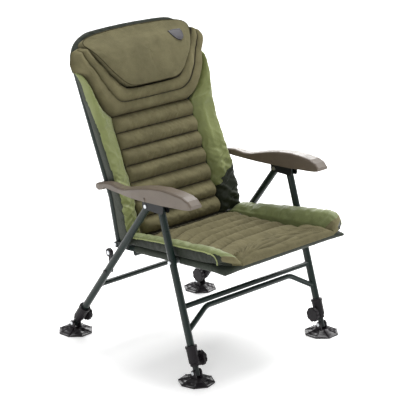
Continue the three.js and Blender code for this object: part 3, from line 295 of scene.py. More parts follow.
def settled(grid, held, pressure, growth, cap, strides=(2, 2), ends=(0, 0), frames=14):
    """A closed grid after a short cloth simulation on a thinned copy of it.

    Held points, weighted 1, and some rows at the ends keep their places. No point moves more than cap
    millimetres.
    """
    grid, held = np.array(grid), np.array(held, float)
    held[:ends[0]] = 1
    held[len(held) - ends[1]:] = 1
    rows, columns = grid.shape[:2]
    row_picks = np.unique(np.append(np.arange(0, rows, strides[0]), rows - 1))
    column_picks = np.arange(0, columns, strides[1])
    coarse = grid[np.ix_(row_picks, column_picks)]
    weights = held[np.ix_(row_picks, column_picks)].ravel()
    thing = skin("settling", coarse, [])
    group = thing.vertex_groups.new(name="held")
    levels = np.round(weights, 1)
    for level in np.unique(levels[levels > 0]):
        group.add(np.flatnonzero(levels == level).tolist(), float(level), "REPLACE")
    group.add([len(weights), len(weights) + 1], 1.0, "REPLACE")
    cloth = thing.modifiers.new("cloth", "CLOTH")
    settings = cloth.settings
    settings.quality = 5
    settings.mass = 0.2
    settings.tension_stiffness = settings.compression_stiffness = 12
    settings.shear_stiffness = 5
    settings.bending_stiffness = 0.2
    settings.use_pressure = True
    settings.uniform_pressure_force = pressure
    settings.shrink_min = -growth
    settings.vertex_group_mass = "held"
    settings.effector_weights.gravity = 0
    cloth.collision_settings.use_collision = False
    for frame_number in range(1, frames + 1):
        bpy.context.scene.frame_set(frame_number)
    shown = thing.evaluated_get(bpy.context.evaluated_depsgraph_get())
    flat = np.empty(len(shown.data.vertices) * 3)
    shown.data.vertices.foreach_get("co", flat)
    moved = flat.reshape(-1, 3)[:len(weights)].reshape(coarse.shape) - coarse
    mesh = thing.data
    bpy.data.objects.remove(thing)
    bpy.data.meshes.remove(mesh)
    bpy.context.scene.frame_set(1)
    length = np.linalg.norm(moved, axis=-1, keepdims=True) + 1e-12
    limit = cap * MM
    moved *= np.tanh(length / limit) * limit / length
    moved = thinned(moved, row_picks, rows).swapaxes(0, 1)
    moved = np.concatenate([moved, moved[:1]])
    moved = thinned(moved, np.append(column_picks, columns), columns).swapaxes(0, 1)
    moved = (np.roll(moved, 1, 1) + 2 * moved + np.roll(moved, -1, 1)) / 4
    moved[1:-1] = evened(moved)
    return grid + moved * (1 - np.clip(held, 0, 1))[..., None]


# Materials
class Nodes:
    """Short calls for building one procedural material."""

    def __init__(self, name):
        self.material = bpy.data.materials.new(name)
        self.material.use_nodes = True
        self.tree = self.material.node_tree
        self.shader = self.tree.nodes["Principled BSDF"]
        self.place = self.make("ShaderNodeTexCoord").outputs["Object"]

    def make(self, kind, inputs=(), **values):
        node = self.tree.nodes.new(kind)
        for key, value in values.items():
            setattr(node, key, value)
        for key, value in dict(inputs).items():
            self.give(node.inputs[key], value)
        return node

    def link(self, a, b):
        self.tree.links.new(a, b)

    def noise(self, scale, detail=4, roughness=0.6, stretch=None):
        place = self.place
        if stretch is not None:
            place = self.make("ShaderNodeMapping", {"Scale": stretch, "Vector": place}).outputs["Vector"]
        inputs = {"Scale": scale, "Detail": detail, "Roughness": roughness, "Vector": place}
        return self.make("ShaderNodeTexNoise", inputs).outputs["Fac"]

    def wave(self, scale, direction):
        inputs = {"Scale": scale, "Distortion": 1.0, "Detail": 0.0, "Vector": self.place}
        node = self.make("ShaderNodeTexWave", inputs, wave_type="BANDS", bands_direction=direction)
        return node.outputs["Fac"]

    def ramp(self, source, first, last, low=0.3, high=0.7):
        """A colour that goes from first to last as the source goes from low to high."""
        node = self.make("ShaderNodeValToRGB", {"Fac": source})
        stops = (low, first), (high, last)
        for element, (position, colour) in zip(node.color_ramp.elements, stops):
            element.position = position
            element.color = (*colour, 1)
        return node.outputs["Color"]

    def tones(self, source, colour, dark, light, **ends):
        return self.ramp(source, tinted(colour, dark), tinted(colour, light), **ends)

    def greys(self, source, first, last, *ends):
        return self.ramp(source, (first,) * 3, (last,) * 3, *ends)

    def multiply(self, amount, a, b):
        inputs = {"Factor": amount, "A": a, "B": b}
        return self.make("ShaderNodeMix", inputs, data_type="RGBA", blend_type="MULTIPLY").outputs["Result"]

    def give(self, socket, value):
        if isinstance(value, bpy.types.NodeSocket):
            self.link(value, socket)
        elif isinstance(value, tuple) and len(value) == 3 and socket.type == "RGBA":
            socket.default_value = (*value, 1)
        else:
            socket.default_value = value

    def bump(self, *layers):
        """Layers of (height, strength, distance in metres), joined one over another."""
        normal = None
        for height, strength, distance in layers:
            node = self.make("ShaderNodeBump", {"Strength": strength, "Distance": distance, "Height": height})
            if normal is not None:
                self.link(normal, node.inputs["Normal"])
            normal = node.outputs["Normal"]
        self.link(normal, self.shader.inputs["Normal"])

    def set(self, **values):
        names = {"base": "Base Color", "rough": "Roughness", "metal": "Metallic", "sheen": "Sheen Weight",
                 "sheen_rough": "Sheen Roughness", "sheen_tint": "Sheen Tint", "coat": "Coat Weight",
                 "coat_rough": "Coat Roughness", "specular": "Specular IOR Level"}
        for key, value in values.items():
            self.give(self.shader.inputs[names[key]], value)
        return self.material


def tinted(colour, amount):
    """A colour made lighter or darker."""
    return tuple(min(1.0, c * amount) for c in colour)


def paint_material(name, colour, rough):
    """Glossy paint over steel."""
    n = Nodes(name)
    base = n.tones(n.noise(9, 3), colour, 0.86, 1.16)
    n.bump((n.noise(1500, 2), 0.12, 0.0002), (n.noise(60, 2), 0.05, 0.001))
    rub = n.greys(n.noise(35, 5), rough, rough + 0.12, 0.35, 0.75)
    return n.set(base=base, rough=rub, metal=0.0, coat=0.14, coat_rough=0.12, specular=0.25)


def plastic_material(name, colour, rough, grain_scale=900, grain_strength=0.25, shine=0.22):
    """Moulded plastic with a fine grain."""
    n = Nodes(name)
    base = n.tones(n.noise(14, 4), colour, 0.9, 1.12, high=0.72)
    n.bump((n.noise(grain_scale, 3), grain_strength, 0.0003), (n.noise(30, 2), 0.06, 0.002))
    rub = n.greys(n.noise(40, 4), rough - 0.05, rough + 0.07)
    return n.set(base=base, rough=rub, metal=0.0, specular=shine)


def metal_material(name, colour, rough):
    n = Nodes(name)
    base = n.tones(n.noise(90, 3), colour, 0.85, 1.1)
    n.bump((n.noise(800, 3, stretch=(1, 1, 0.1)), 0.2, 0.0002))
    return n.set(base=base, rough=n.greys(n.noise(120, 3), rough, rough + 0.15), metal=1.0)


def fleece_material(name, colour):
    """Brushed fleece: a short nap, with soft patches where it was stroked, and painted shade in its valleys
    and seams from the crease attribute.
    """
    n = Nodes(name)
    fibres = n.noise(1400, 3, 0.7)
    base = n.tones(n.noise(16, 5, 0.65), colour, 0.8, 1.18)
    base = n.multiply(0.8, base, n.greys(fibres, 0.72, 1.0, 0.25, 0.75))
    # Painted shade: the crease attribute darkens the colour next to seams, in grooves and in folds, where
    # shade falls.
    painted_crease_shade = n.make("ShaderNodeAttribute", attribute_name="crease")
    base = n.multiply(painted_crease_shade.outputs["Fac"], base, (0.36, 0.34, 0.3))
    n.bump((fibres, 0.5, 0.0006), (n.noise(220, 4), 0.3, 0.0012))
    return n.set(base=base, rough=0.95, sheen=0.16, sheen_rough=0.55, specular=0.15,
                 sheen_tint=tinted(colour, 2.6))


def weave_material(name, colour, rough, sheen, wrinkle=0.25):
    """Plain woven cloth: two crossed sets of yarns, with slight colour and lustre changes."""
    n = Nodes(name)
    yarn = n.make("ShaderNodeMath", operation="MULTIPLY")
    for socket, direction in zip(yarn.inputs, "XZ"):
        n.link(n.wave(2200, direction), socket)
    base = n.tones(n.noise(11, 4), colour, 0.88, 1.12)
    base = n.multiply(0.7, base, n.greys(n.noise(1100, 2), 0.86, 1.0))
    n.bump((yarn.outputs[0], 0.25, 0.0003), (n.noise(70, 4, 0.55), wrinkle, 0.004))
    rub = n.greys(n.noise(26, 3), rough - 0.06, rough + 0.06)
    return n.set(base=base, rough=rub, sheen=sheen, sheen_rough=0.4, specular=0.35)


tube_paint = paint_material("tube_paint", (0.008, 0.0165, 0.014), 0.27)
inner_paint = paint_material("inner_tube_paint", (0.008, 0.012, 0.0115), 0.36)
black_plastic = plastic_material("black_plastic", (0.0095, 0.0075, 0.0095), 0.42)
arm_plastic = plastic_material("armrest_plastic", (0.118, 0.092, 0.068), 0.36, 1300, 0.15, 0.55)
foot_plastic = plastic_material("foot_plastic", (0.012, 0.0095, 0.012), 0.34, 700, 0.3, 0.35)
plate_plastic = plastic_material("plate_plastic", (0.055, 0.052, 0.058), 0.4, 600, 0.1)
bracket_paint = paint_material("bracket_paint", (0.008, 0.009, 0.01), 0.4)
zinc = metal_material("zinc", (0.62, 0.64, 0.66), 0.28)
# Painted light and shade: the pillow, seat and flap fleeces are copies of the one brown fleece, each made a
# little lighter or darker for the light on its part.
fleece = fleece_material("brown_fleece", (0.172, 0.155, 0.083))
pillow_fleece = fleece_material("pillow_fleece", (0.15, 0.136, 0.074))
dark_fleece = fleece_material("dark_fleece", (0.06, 0.052, 0.026))
seat_fleece = fleece_material("seat_fleece", (0.168, 0.15, 0.083))
flap_cloth = fleece_material("flap_fleece", (0.146, 0.13, 0.071))
light_green = weave_material("light_green_cloth", (0.205, 0.232, 0.082), 0.5, 0.25, wrinkle=0.14)
mid_green = weave_material("mid_green_cloth", (0.186, 0.216, 0.086), 0.55, 0.2, wrinkle=0.18)
dark_side = weave_material("bolster_side_cloth", (0.011, 0.0155, 0.0075), 0.55, 0.08)
deep_green = weave_material("deep_green_cloth", (0.019, 0.026, 0.012), 0.5, 0.12)
sling_cloth = weave_material("sling_cloth", (0.02, 0.027, 0.017), 0.7, 0.08, wrinkle=0.4)
piping_cloth = weave_material("piping_cloth", (0.3, 0.34, 0.13), 0.55, 0.2, wrinkle=0.05)
thread = weave_material("seam_thread", (0.03, 0.026, 0.014), 0.8, 0.05, wrinkle=0.05)

slot_materials = {
    "frame_tube": tube_paint, "inner_tube": inner_paint, "black_plastic": black_plastic,
    "armrest_plastic": arm_plastic, "zinc_bolt": zinc, "bracket_steel": bracket_paint,
    "dark_cloth": sling_cloth, "green_cloth": light_green, "brown_fleece": fleece,
}
for part in frame["record"]["subparts"]:
    node = nodes[part["node"]]
    material = slot_materials[part["material_slot"]]
    node.data.materials.clear()
    node.data.materials.append(material)
    shade(node, 20 if part["node"].endswith("_foot") else 28 if part["node"].startswith("armrest_") else 50)
for _, word in SIDES:
    ring = nodes[f"support_ring_{word}"]
    ring.data.materials.append(zinc)
    corners = np.array([v.co[:] for v in ring.data.vertices])
    middle, reach = (corners.max(0) + corners.min(0)) / 2, np.abs(corners[:, 0]).max()
    for face in ring.data.polygons:
        place = np.array(face.center)
        if abs(abs(place[0]) - reach) < 3 * MM and np.linalg.norm((place - middle)[1:]) < 7 * MM:
            face.material_index = 1


FOLD_START, FOLD_END = tuple(back_place(0, 30, 20)), tuple(back_place(0, 150, 20))


def dress(thing, slot, *replaced, body=None, fill=None):
    """Says what a piece rides on and stands for. Without a body its place is baked into its mesh."""
    if body:
        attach(thing, body)
    else:
        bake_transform(thing)
    if replaced:
        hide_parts(*replaced)


# Feet: a dished plate between eight ridges, with two ears for the pin
FOOT_TURN = {"front_left": 15.0, "front_right": 2.0, "rear_left": 4.0, "rear_right": 9.0}


def foot_plate(corner, middle):
    shares = stretches((0.01, 0.34, 5), (0.38, 0.9, 14), (0.92, 1, 6))
    slope = np.clip((shares - 0.35) / 0.65, 0, 1)
    rows = []
    for angle in np.linspace(0, 2 * math.pi, 145):
        part = (angle / (math.pi / 4)) % 1
        reach = 49.5 / math.cos((part - 0.5) * math.pi / 4)
        ridge = min(part, 1 - part) * math.pi / 4 * shares * reach
        top = 15.5 - 12.3 * slope - 2.4 * np.sin(math.pi * slope) * math.sin(math.pi * part)
        top += 1.5 * np.exp(-(ridge / 1.7) ** 2) * smooth(0.3, 0.5, shares) + 1.2 * smooth(0.93, 0.97, shares)
        top += 0.7 * np.sin(2 * math.pi * shares * 3) * smooth(0.5, 0.6, shares) * smooth(0.95, 0.85, shares)
        low = np.maximum(0.2, top[::-1] - 3.2) * np.where(shares[::-1] > 0.94, 0, 1) + 0.2
        along = np.concatenate([shares, shares[::-1]]) * reach
        turn = angle + math.radians(FOOT_TURN[corner] + 22.5)
        x, y = middle[0] + along * math.cos(turn), middle[1] + along * math.sin(turn)
        rows.append(np.stack([x, y, np.concatenate([top, low])], -1) * MM)
    return skin(f"{corner}_foot_plate", rows, [foot_plastic], caps=False, smooth_angle=24)


def foot_ears(corner, middle, inner, outer):
    arc = [(9 * math.cos(a), 30 + 9 * math.sin(a)) for a in np.linspace(0, math.pi, 17)]
    outline = np.array(arc + [(-10.5, 24), (-14.5, 13), (14.5, 13), (10.5, 24)])
    centre = np.array([0, 24])
    pieces = []
    for side, word in SIDES:
        rows = []
        for across, size in ((inner, 0.93), (inner + 0.7, 1.0), (outer - 0.7, 1.0), (outer, 0.93)):
            place = centre + (outline - centre) * size
            x = np.full(len(place), middle[0] + side * across)
            rows.append(np.stack([x, middle[1] + place[:, 0], place[:, 1]], -1) * MM)
        pieces.append(skin(f"{corner}_foot_ear_{word}", rows, [foot_plastic], smooth_angle=30))
    return pieces


for corner in FOOT_TURN:
    low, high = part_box(f"{corner}_foot")
    middle = (np.array(low) + np.array(high)) / 2 / MM
    corners = np.array([v.co[:] for v in nodes[f"{corner}_foot"].data.vertices]) / MM
    ears = np.abs(corners[corners[:, 2] > 25][:, 0] - middle[0])
    dress(foot_plate(corner, middle), "black_plastic", f"{corner}_foot", body=f"{corner}_foot_body")
    for ear in foot_ears(corner, middle, ears.min(), ears.max()):
        dress(ear, "black_plastic", body=f"{corner}_foot_body")


# Seat mat: a dense side outline with channels, skinned across the chair
SEAT_HALF = 189.0
SEAT_FRONT = -209.0
SLEEVE = 12.8
MAT_SEAMS = np.array([-106.0, -26.0, 26.0, 69.0, 113.0, 165.0, 205.0, 250.0])
SEAT_REAR = 260.0
MAT_FLOOR = -10.5
# The folded back's line over the seat, as run for each millimetre of rise, and its depth below that line
FOLDED_SLOPE, FOLDED_DEPTH = 2.02, 15.0


def mat_phase(run, across):
    """Which channel a place is in and how far through it, with the seams swept forward at the left side."""
    x = across * SEAT_HALF
    local = run - 4 * np.tanh(x / 60) + 20 * np.clip((-x - 50) / 70, 0, 1.4) ** 1.5
    place = np.interp(local, MAT_SEAMS, np.arange(len(MAT_SEAMS)))
    return np.where(local < MAT_SEAMS[0], -1.0, place), local


def seam_distance(run, across):
    """Distance in millimetres to the nearest seam of the mat."""
    _, local = mat_phase(run, across)
    return np.abs(local[..., None] - MAT_SEAMS[:-1]).min(-1)


def seat_top(run, across):
    """Height of the mat's upper face: sewn channels, a plain front flap, and a thin end under the back."""
    phase, local = mat_phase(run, across)
    crest = np.abs(np.sin(math.pi * (phase - np.floor(phase)) ** 1.25)) ** 0.75
    full = 1 - np.abs(across) ** 6
    calm = 1 - 0.45 * smooth(0.35, 0.8, -across)
    body = 6.0 + 6.0 * (1 - calm) + 14.0 * crest * calm * (0.5 + 0.5 * full)
    flap = 27.5 + 2.0 * smooth(-110, -150, local) - 3.0 * (np.clip(-145 - local, 0, 60) / 60) ** 2
    flap = 9.0 + (flap - 9.0) * np.clip((MAT_SEAMS[0] + 1 - local) / 11, 0, 1) ** 0.5
    top = np.where(phase < 0, flap, body) + 1.5 * full
    tail = np.clip((BACK_PIVOT_RUN - run) / FOLDED_SLOPE - FOLDED_DEPTH, 2.2, 40)
    return top + (np.minimum(top, tail) - top) * smooth(203, 213, run)


def flap_folds(x, runs, local):
    """Folds that fan out from the two front corners over the flap, as heights in millimetres."""
    height = 1.2 * soft_noise(x + (runs + 106) * x * 0.004, runs, 11, 90, 8)
    for corner, size, seed in ((-180, 5.6, 14), (186, 3.4, 15)):
        away = np.hypot(x - corner, runs + 201)
        turn = np.arctan2(runs + 201, abs(x - corner) + 1)
        rays = soft_noise(turn * 60, away, 7.5, 140, seed)
        rays = 0.7 * rays + 0.7 * np.sin(turn * 40 + 1.6 * soft_noise(away, turn * 9, 60, 3, seed + 2))
        height += size * rays * smooth(8, 50, away) * np.exp(-away / 190)
    return height * smooth(-104, -116, local)


def mat_outline(runs, top, edge, x):
    """The mat's closed side outline at one place across: top, rounded nose, groove for the sleeve, floor."""
    outline = list(zip(runs, top))
    nose_run, nose_rise = outline[-1]
    for angle in np.linspace(0, math.pi / 2, 8)[1:]:
        outline.append((nose_run - 9 * math.sin(angle), nose_rise - 9 * (1 - math.cos(angle))))
    face = SEAT_FRONT + 0.6 * edge + 0.6 * soft_noise(x, 0.0, 26, 10, 12)
    outline += [(face, rise) for rise in np.linspace(nose_rise - 11, 9, 6)]
    clear = SLEEVE + 0.8
    outline += [(SEAT_FRONT + 1.5, 7), (SEAT_FRONT + 4, 6), (FRONT_RAIL - SLEEVE - 1.6, 7)]
    outline += [(FRONT_RAIL - clear, clear)]
    outline += [(run, clear) for run in np.linspace(-190, FRONT_RAIL + SLEEVE, 6)]
    outline += [(FRONT_RAIL + clear, MAT_FLOOR)] + [(run, MAT_FLOOR) for run in np.linspace(-150, 170, 12)]
    return np.array(outline + [(run, 0.6) for run in np.linspace(178, SEAT_REAR, 5)])


def seat_mat():
    """The quilted mat as side outlines at many places across, sewn down along its seams and edges."""
    across = stretches((-1, -0.94, 8), (-0.93, 0.93, 130), (0.94, 1, 8))
    runs = np.linspace(SEAT_REAR, SEAT_FRONT + 9, 340)
    count, body = len(runs), smooth(229, 215, runs)
    low = np.where(runs < FRONT_RAIL + 2 * SLEEVE, SLEEVE + 1.8, 2.0)
    rows, held = [], []
    for u in across:
        edge = 1 - np.abs(u) ** 14
        x = u * SEAT_HALF
        _, local = mat_phase(runs, u)
        near = seam_distance(runs, u)
        pucker = 1.3 * soft_noise(x, runs, 9, 30, 3) * np.exp(-near / 9) * body
        wobble = soft_noise(x, runs, 46, 30, 5) * body
        top = seat_top(runs, u) + pucker + flap_folds(x, runs, local) + wobble
        top = low + (top - low) * (0.35 + 0.65 * np.maximum(edge, smooth(150, 190, runs)))
        outline = mat_outline(runs, top, edge, x)
        wide = u * (SEAT_HALF + 11 * smooth(237, 247, outline[:, 0]))
        rows.append(seat_place(wide, outline[:, 0], outline[:, 1]))
        keep = np.ones(len(outline))
        keep[:count] = np.maximum(np.clip(1.5 - near / 2.0, 0, 1), runs > SEAT_REAR - 32)
        keep[count:count + 13] = 0.4
        held.append(np.maximum(keep, smooth(0.95, 0.985, abs(u))))
    grid = settled(rows, held, 3.0, 0.02, 1.8, (2, 3))
    slots, creases = unmarked(grid)
    for row, u in enumerate(across):
        phase, local = mat_phase(runs, u)
        near = seam_distance(runs, u)
        slots[row, :count][phase < 0] = 1
        if 5 < row < len(across) - 6:
            slots[row, :count][(near < 1.4) & (runs < 216)] = 2
        # Painted shade: darker next to the seams, over the front slope of each channel and over the flap,
        # most in its fold valleys, fading out at the rear end.
        front_slope_shade = 1 - phase + np.floor(phase)
        folds = np.clip(0.16 - 0.17 * flap_folds(u * SEAT_HALF, runs, local), 0, 0.6)
        creases[row, :count] = 0.75 * np.exp(-near / 4) + np.where(phase < 0, folds, 0.25 * front_slope_shade)
    slots[:, count:count + 14] = 1
    creases[:, :count] *= smooth(229, 212, runs)
    materials = [seat_fleece, flap_cloth, thread]
    return skin("seat_mat", grid, materials, slots, caps="flat", smooth_angle=70, creases=creases)


# Seat bolsters: cross sections that stand beside the mat, with a front corner that is rounded in plan
BOLSTER_TABLE = [
    # run, height, rounding of the front corner
    [-206, 27, 1], [-203, 36, 0.99], [-196, 44, 0.95], [-181, 49.5, 0.8], [-143, 53, 0.3], [-80, 53.5, 0],
    [0, 52, 0], [60, 50, 0], [110, 47.5, 0], [160, 44, 0], [205, 38.5, 0], [214, 34, 0], [222, 27, 0],
    [229, 18.5, 0], [236, 14.4, 0],
]
RIGHT_EXTRA = [(-200, -160, -80, 0, 80, 160, 205, 236), (12, 11, 6, 1, -4, -9, -7, 0)]
BOLSTER_INNER, BOLSTER_WIDTH = 189.6, 56.4
BOLSTER_TURN = {-1: 38.0, 1: 21.0}
RAIL_TOP = 13.6


def bolster_values(runs, side):
    """Height and rounding at each run. The right bolster is higher at its front corner, as photographed."""
    values = spline(BOLSTER_TABLE, runs)
    if side > 0:
        values[:, 0] += np.interp(runs, *RIGHT_EXTRA)
    return values


def bolster_section(run, height, rounding):
    lift = 8 * rounding
    front = 12 * float(smooth(91, 182, -run))
    return np.array([
        (219, -10.0 if abs(run) < 165 else RAIL_TOP), (190, -10.0 if -140 < run < 165 else 8.0),
        (BOLSTER_INNER, 9 + front), (191, height * 0.3 + 6), (196, height * 0.55), (203, height * 0.76),
        (212, height * 0.92), (222, height * 0.99), (231, height), (238, height * 0.975),
        (243, height * 0.92), (246.5, height * 0.83), (248, height * 0.7), (248.6, height * 0.5 + lift / 2),
        (248, height * 0.3 + lift * 0.8), (246.0, RAIL_TOP + lift), (232, RAIL_TOP), (219, RAIL_TOP),
    ], float)


def bolster_place(side, run, x, rise, rounding, clear=0.0):
    """Points on a bolster, whose front end is drawn back towards its outer side."""
    out = np.clip((x - BOLSTER_INNER) / BOLSTER_WIDTH, 0, 1.05)
    return seat_place(side * (x + clear), run + BOLSTER_TURN[side] * rounding * out * out, rise)


def bolster(word, side):
    """One side bolster, with a dark outer side below its corded edge and a brown cap at its front."""
    runs = stretches((-206, -193, 10), (-190, 236, 150))
    rows, slots, held = [], [], []
    for run, (height, rounding) in zip(runs, bolster_values(runs, side)):
        fine, marks, lengths = spaced(bolster_section(run, height, rounding), 64, closed=True)
        x, rise = fine.T
        high = smooth(0.35, 0.8, rise / max(height, 1))
        crease = 1.6 * soft_noise(run + marks * 0.3, marks, 17, 26, 21 + (side > 0)) * high
        crease += 0.9 * np.exp(-((rise - height) / 12) ** 2) * soft_noise(run, marks, 7, 40, 31 + (side > 0))
        rise = rise + crease
        rows.append(bolster_place(side, run, x, rise, rounding))
        hem = np.interp(run, [-206, -150], [lengths[9], lengths[11]])
        cap = (run < -204 + 48 * (side > 0) * (1 - rise / height)) | (run < -201)
        slots.append(np.where(marks > hem, 1, np.where(cap, 2, 0)))
        under = (marks < lengths[2]) | (marks > lengths[15] - 1)
        held.append(np.maximum(under, np.clip(1.4 - np.abs(marks - hem) / 3.0, 0, 1)))
    grid = settled(rows, held, 3.0, 0.02, 2.0, ends=(2, 3))
    materials = [mid_green, dark_side, fleece]
    return skin(f"seat_bolster_{word}_cover", grid, materials, np.array(slots), smooth_angle=75)


def bolster_piping(word, side):
    """A corded edge that runs down the bolster's front end and back along the top of its outer side."""
    height, rounding = bolster_values(np.array([-204.0]), side)[0]
    path = [bolster_place(side, -206.0, x, rise, rounding, 0.6)
            for x, rise in bolster_section(-204.0, height, rounding)[14:10:-1]]
    runs = np.linspace(-190, 226, 120)
    for run, (height, rounding) in zip(runs, bolster_values(runs, side)):
        x, rise = bolster_section(run, height, rounding)[11]
        rise += 0.9 * soft_noise(run, 0.0, 18, 20, 33 + (side > 0))
        path.append(bolster_place(side, run, x, rise, rounding, 0.8))
    path = np.array(path)
    for _ in range(2):
        path[1:-1] = evened(path)
    return tube(f"seat_bolster_piping_{word}", path, 1.7 * MM, piping_cloth, 8)


# Back mattress
def back_rolls():
    """The rolls as one skin whose height over the sling rises and falls between the seams."""
    across = stretches((-1, -0.9, 16), (-0.885, 0.885, 128), (0.9, 1, 16))
    runs = np.linspace(5, FIRST_SEAM, 360)
    seam = (FIRST_SEAM - runs) / ROLL_PITCH
    index = np.clip(np.floor(seam).astype(int), 0, 6)
    share = np.clip(seam - index, 0, 1)
    floor = SEAMS[index] * (1 - share) + SEAMS[index + 1] * share
    bulge = np.clip(np.sin(math.pi * share), 0, 1) ** 0.72
    near = np.minimum(share, 1 - share) * ROLL_PITCH
    rows, held = [], []
    for u in across:
        edge = np.clip(1 - np.abs(u) ** 16, 0, 1) ** 0.5
        x = u * (PAD_HALF - 0.3 - 5.0 * (1 - bulge) * abs(u) ** 8)
        creases = 1.7 * soft_noise(x, runs, 8, 60, 41) * np.exp(-near / 7.0)
        creases += 0.8 * soft_noise(x, runs, 34, 26, 42)
        front = floor - 4.5 + (22.0 * bulge) * (0.25 + 0.75 * edge) + creases * edge
        front = np.maximum(PAD_BACK + 1.0, PAD_BACK + (front - PAD_BACK) * (0.5 + 0.5 * edge))
        under = back_place(x[0], np.linspace(runs[-1], runs[0], 12), PAD_BACK + 0.4)
        rows.append(np.vstack([back_place(x, runs, front), under]))
        sewn = np.maximum(np.clip(1.6 - near / 1.6, 0, 1), smooth(0.95, 0.985, abs(u)))
        held.append(np.concatenate([sewn, np.ones(12)]))
    grid = settled(rows, held, 4.0, 0.02, 1.8, (2, 3))
    slots, creases = unmarked(grid)
    slots[4:-4, :len(runs)][:, near < 1.1] = 1
    slots[:, len(runs):] = 2
    # Painted shade: darker next to the seams between the rolls.
    creases[:, :len(runs)] = 0.75 * np.exp(-near / 3.6)
    materials = [fleece, thread, sling_cloth]
    return skin("back_rolls", grid, materials, slots, caps="flat", smooth_angle=75, creases=creases)


# Head bands: two bulged strips in a U, from table rows of inner and outer edges
BAND_TABLE = [
    # inner across, inner up, outer across, outer up, height at the outer edge
    [0.0, 0.257, 0.0, 0.0, 0.4], [0.17, 0.258, 0.3, 0.0, 0.4], [0.34, 0.262, 0.68, 0.0, 0.42],
    [0.43, 0.268, 0.81, 0.087, 0.6], [0.51, 0.305, 0.915, 0.25, 0.83], [0.61, 0.405, 0.968, 0.37, 0.93],
    [0.72, 0.555, 0.995, 0.515, 0.93], [0.8, 0.655, 1.078, 0.62, 0.96], [0.865, 0.735, 1.083, 0.695, 0.9],
    [0.9, 0.8, 1.04, 0.75, 0.72], [0.905, 0.845, 0.985, 0.825, 0.5],
]
BAND_HEIGHT = 46.0
BAND_ROWS = 90


def head_bands():
    """Both bands as one skin, from its inner edge by the pillow out over the seam between them."""
    table = np.array(BAND_TABLE)
    steps = steps_along(table[:, :4])
    places = np.linspace(0, steps[-1], BAND_ROWS)
    half = np.stack([np.interp(places, steps, column) for column in table.T], -1)
    padded = np.vstack([half[4:0:-1] * (-1, 1, -1, 1, 1), half, np.repeat(half[-1:], 4, 0)])
    half = sum(padded[k: k + BAND_ROWS] for k in range(9)) / 9
    half[0, [0, 2]] = 0
    half = np.vstack([half[:0:-1] * (-1, 1, -1, 1, 1), half])
    inner = np.stack([half[:, 0] * HALF, FIRST_SEAM + half[:, 1] * HEAD_HEIGHT], -1)
    outer = np.stack([half[:, 2] * HALF, FIRST_SEAM + half[:, 3] * HEAD_HEIGHT], -1)
    shares = np.unique(stretches((0, 0.5, 18), (0.5, 0.93, 16), (0.95, 1, 5)))
    local = np.where(shares < 0.5, shares * 2, shares * 2 - 1)
    near = np.minimum(local, 1 - local)
    bulge = np.clip(np.sin(math.pi * local), 0, 1) ** 0.5
    bulge[shares > 0.9] = np.maximum(bulge[shares > 0.9], 0.55)
    close = 1 - np.clip((shares - 0.8) / 0.2, 0, 1) ** 2.4
    sewn = np.maximum(np.clip(1.5 - near * 22 / 1.5, 0, 1), smooth(0.92, 0.99, shares))
    length = steps_along(inner + outer) / 2
    ends = np.minimum(length, length[-1] - length)
    rows = []
    for row in range(len(inner)):
        crease = 1.5 * soft_noise(length[row], shares * 60, 8, 40, 51) * np.exp(-near * 22 / 5.0)
        crease += 0.9 * soft_noise(length[row], shares * 60, 38, 30, 52)
        height = BAND_HEIGHT * (1 + (half[row, 4] - 1) * shares)
        tip = 0.45 + 0.55 * smooth(0, 16, ends[row])
        front = PAD_BACK + 0.8 + (height * (0.97 + 0.23 * bulge) * tip + crease) * close
        place = inner[row] + (outer[row] - inner[row]) * shares[:, None]
        under = back_place(place[[-1, 0], 0], place[[-1, 0], 1], PAD_BACK + 0.3)
        rows.append(np.vstack([back_place(place[:, 0], place[:, 1], front), under]))
    grid = settled(rows, np.tile(np.append(sewn, [1, 1]), (len(rows), 1)), 3.0, 0.015, 1.5, ends=(3, 3))
    slots, creases = unmarked(grid)
    slots[:, :len(shares)][:, near * 22 < 0.7] = 1
    slots[:, len(shares) - 4:] = 0
    # Painted shade: darker next to the seams of the bands.
    creases[:, :len(shares)] = 0.8 * np.exp(-near * 37 / 4)
    return skin("head_bands_cover", grid, [fleece, thread], slots, smooth_angle=75, creases=creases)


# Headrest: a crowned pillow over a six-cornered outline
HEAD_OUTLINE = [
    # across, up
    [0.0, 0.268], [0.34, 0.27], [0.43, 0.292], [0.52, 0.35], [0.57, 0.4], [0.65, 0.48], [0.72, 0.565],
    [0.8, 0.69], [0.86, 0.785], [0.895, 0.835], [0.9, 0.86], [0.87, 0.895], [0.78, 0.927], [0.6, 0.95],
    [0.36, 0.963], [0.0, 0.97],
]
HEAD_CROWN = [
    # up, height over the sling
    [0.2, 74], [0.36, 75], [0.48, 76], [0.6, 75], [0.7, 68], [0.78, 56], [0.84, 42], [0.89, 33], [0.94, 26],
    [1.0, 21],
]
HEAD_CENTRE = np.array([0, FIRST_SEAM + 0.64 * HEAD_HEIGHT])
BADGE_PLACE = np.array([134.0, 562.0])
BADGE_CROWN_SHARE = 0.99


def head_edge():
    half = np.array(HEAD_OUTLINE) * (HALF, HEAD_HEIGHT) + (0, FIRST_SEAM)
    fine, marks, _ = spaced(np.vstack([half, half[-2:0:-1] * (-1, 1)]), 200, closed=True)
    for _ in range(3):
        fine = (np.roll(fine, 1, 0) + 2 * fine + np.roll(fine, -1, 0)) / 4
    return fine, marks


def head_crown(run):
    return np.interp((run - FIRST_SEAM) / HEAD_HEIGHT, *np.transpose(HEAD_CROWN))


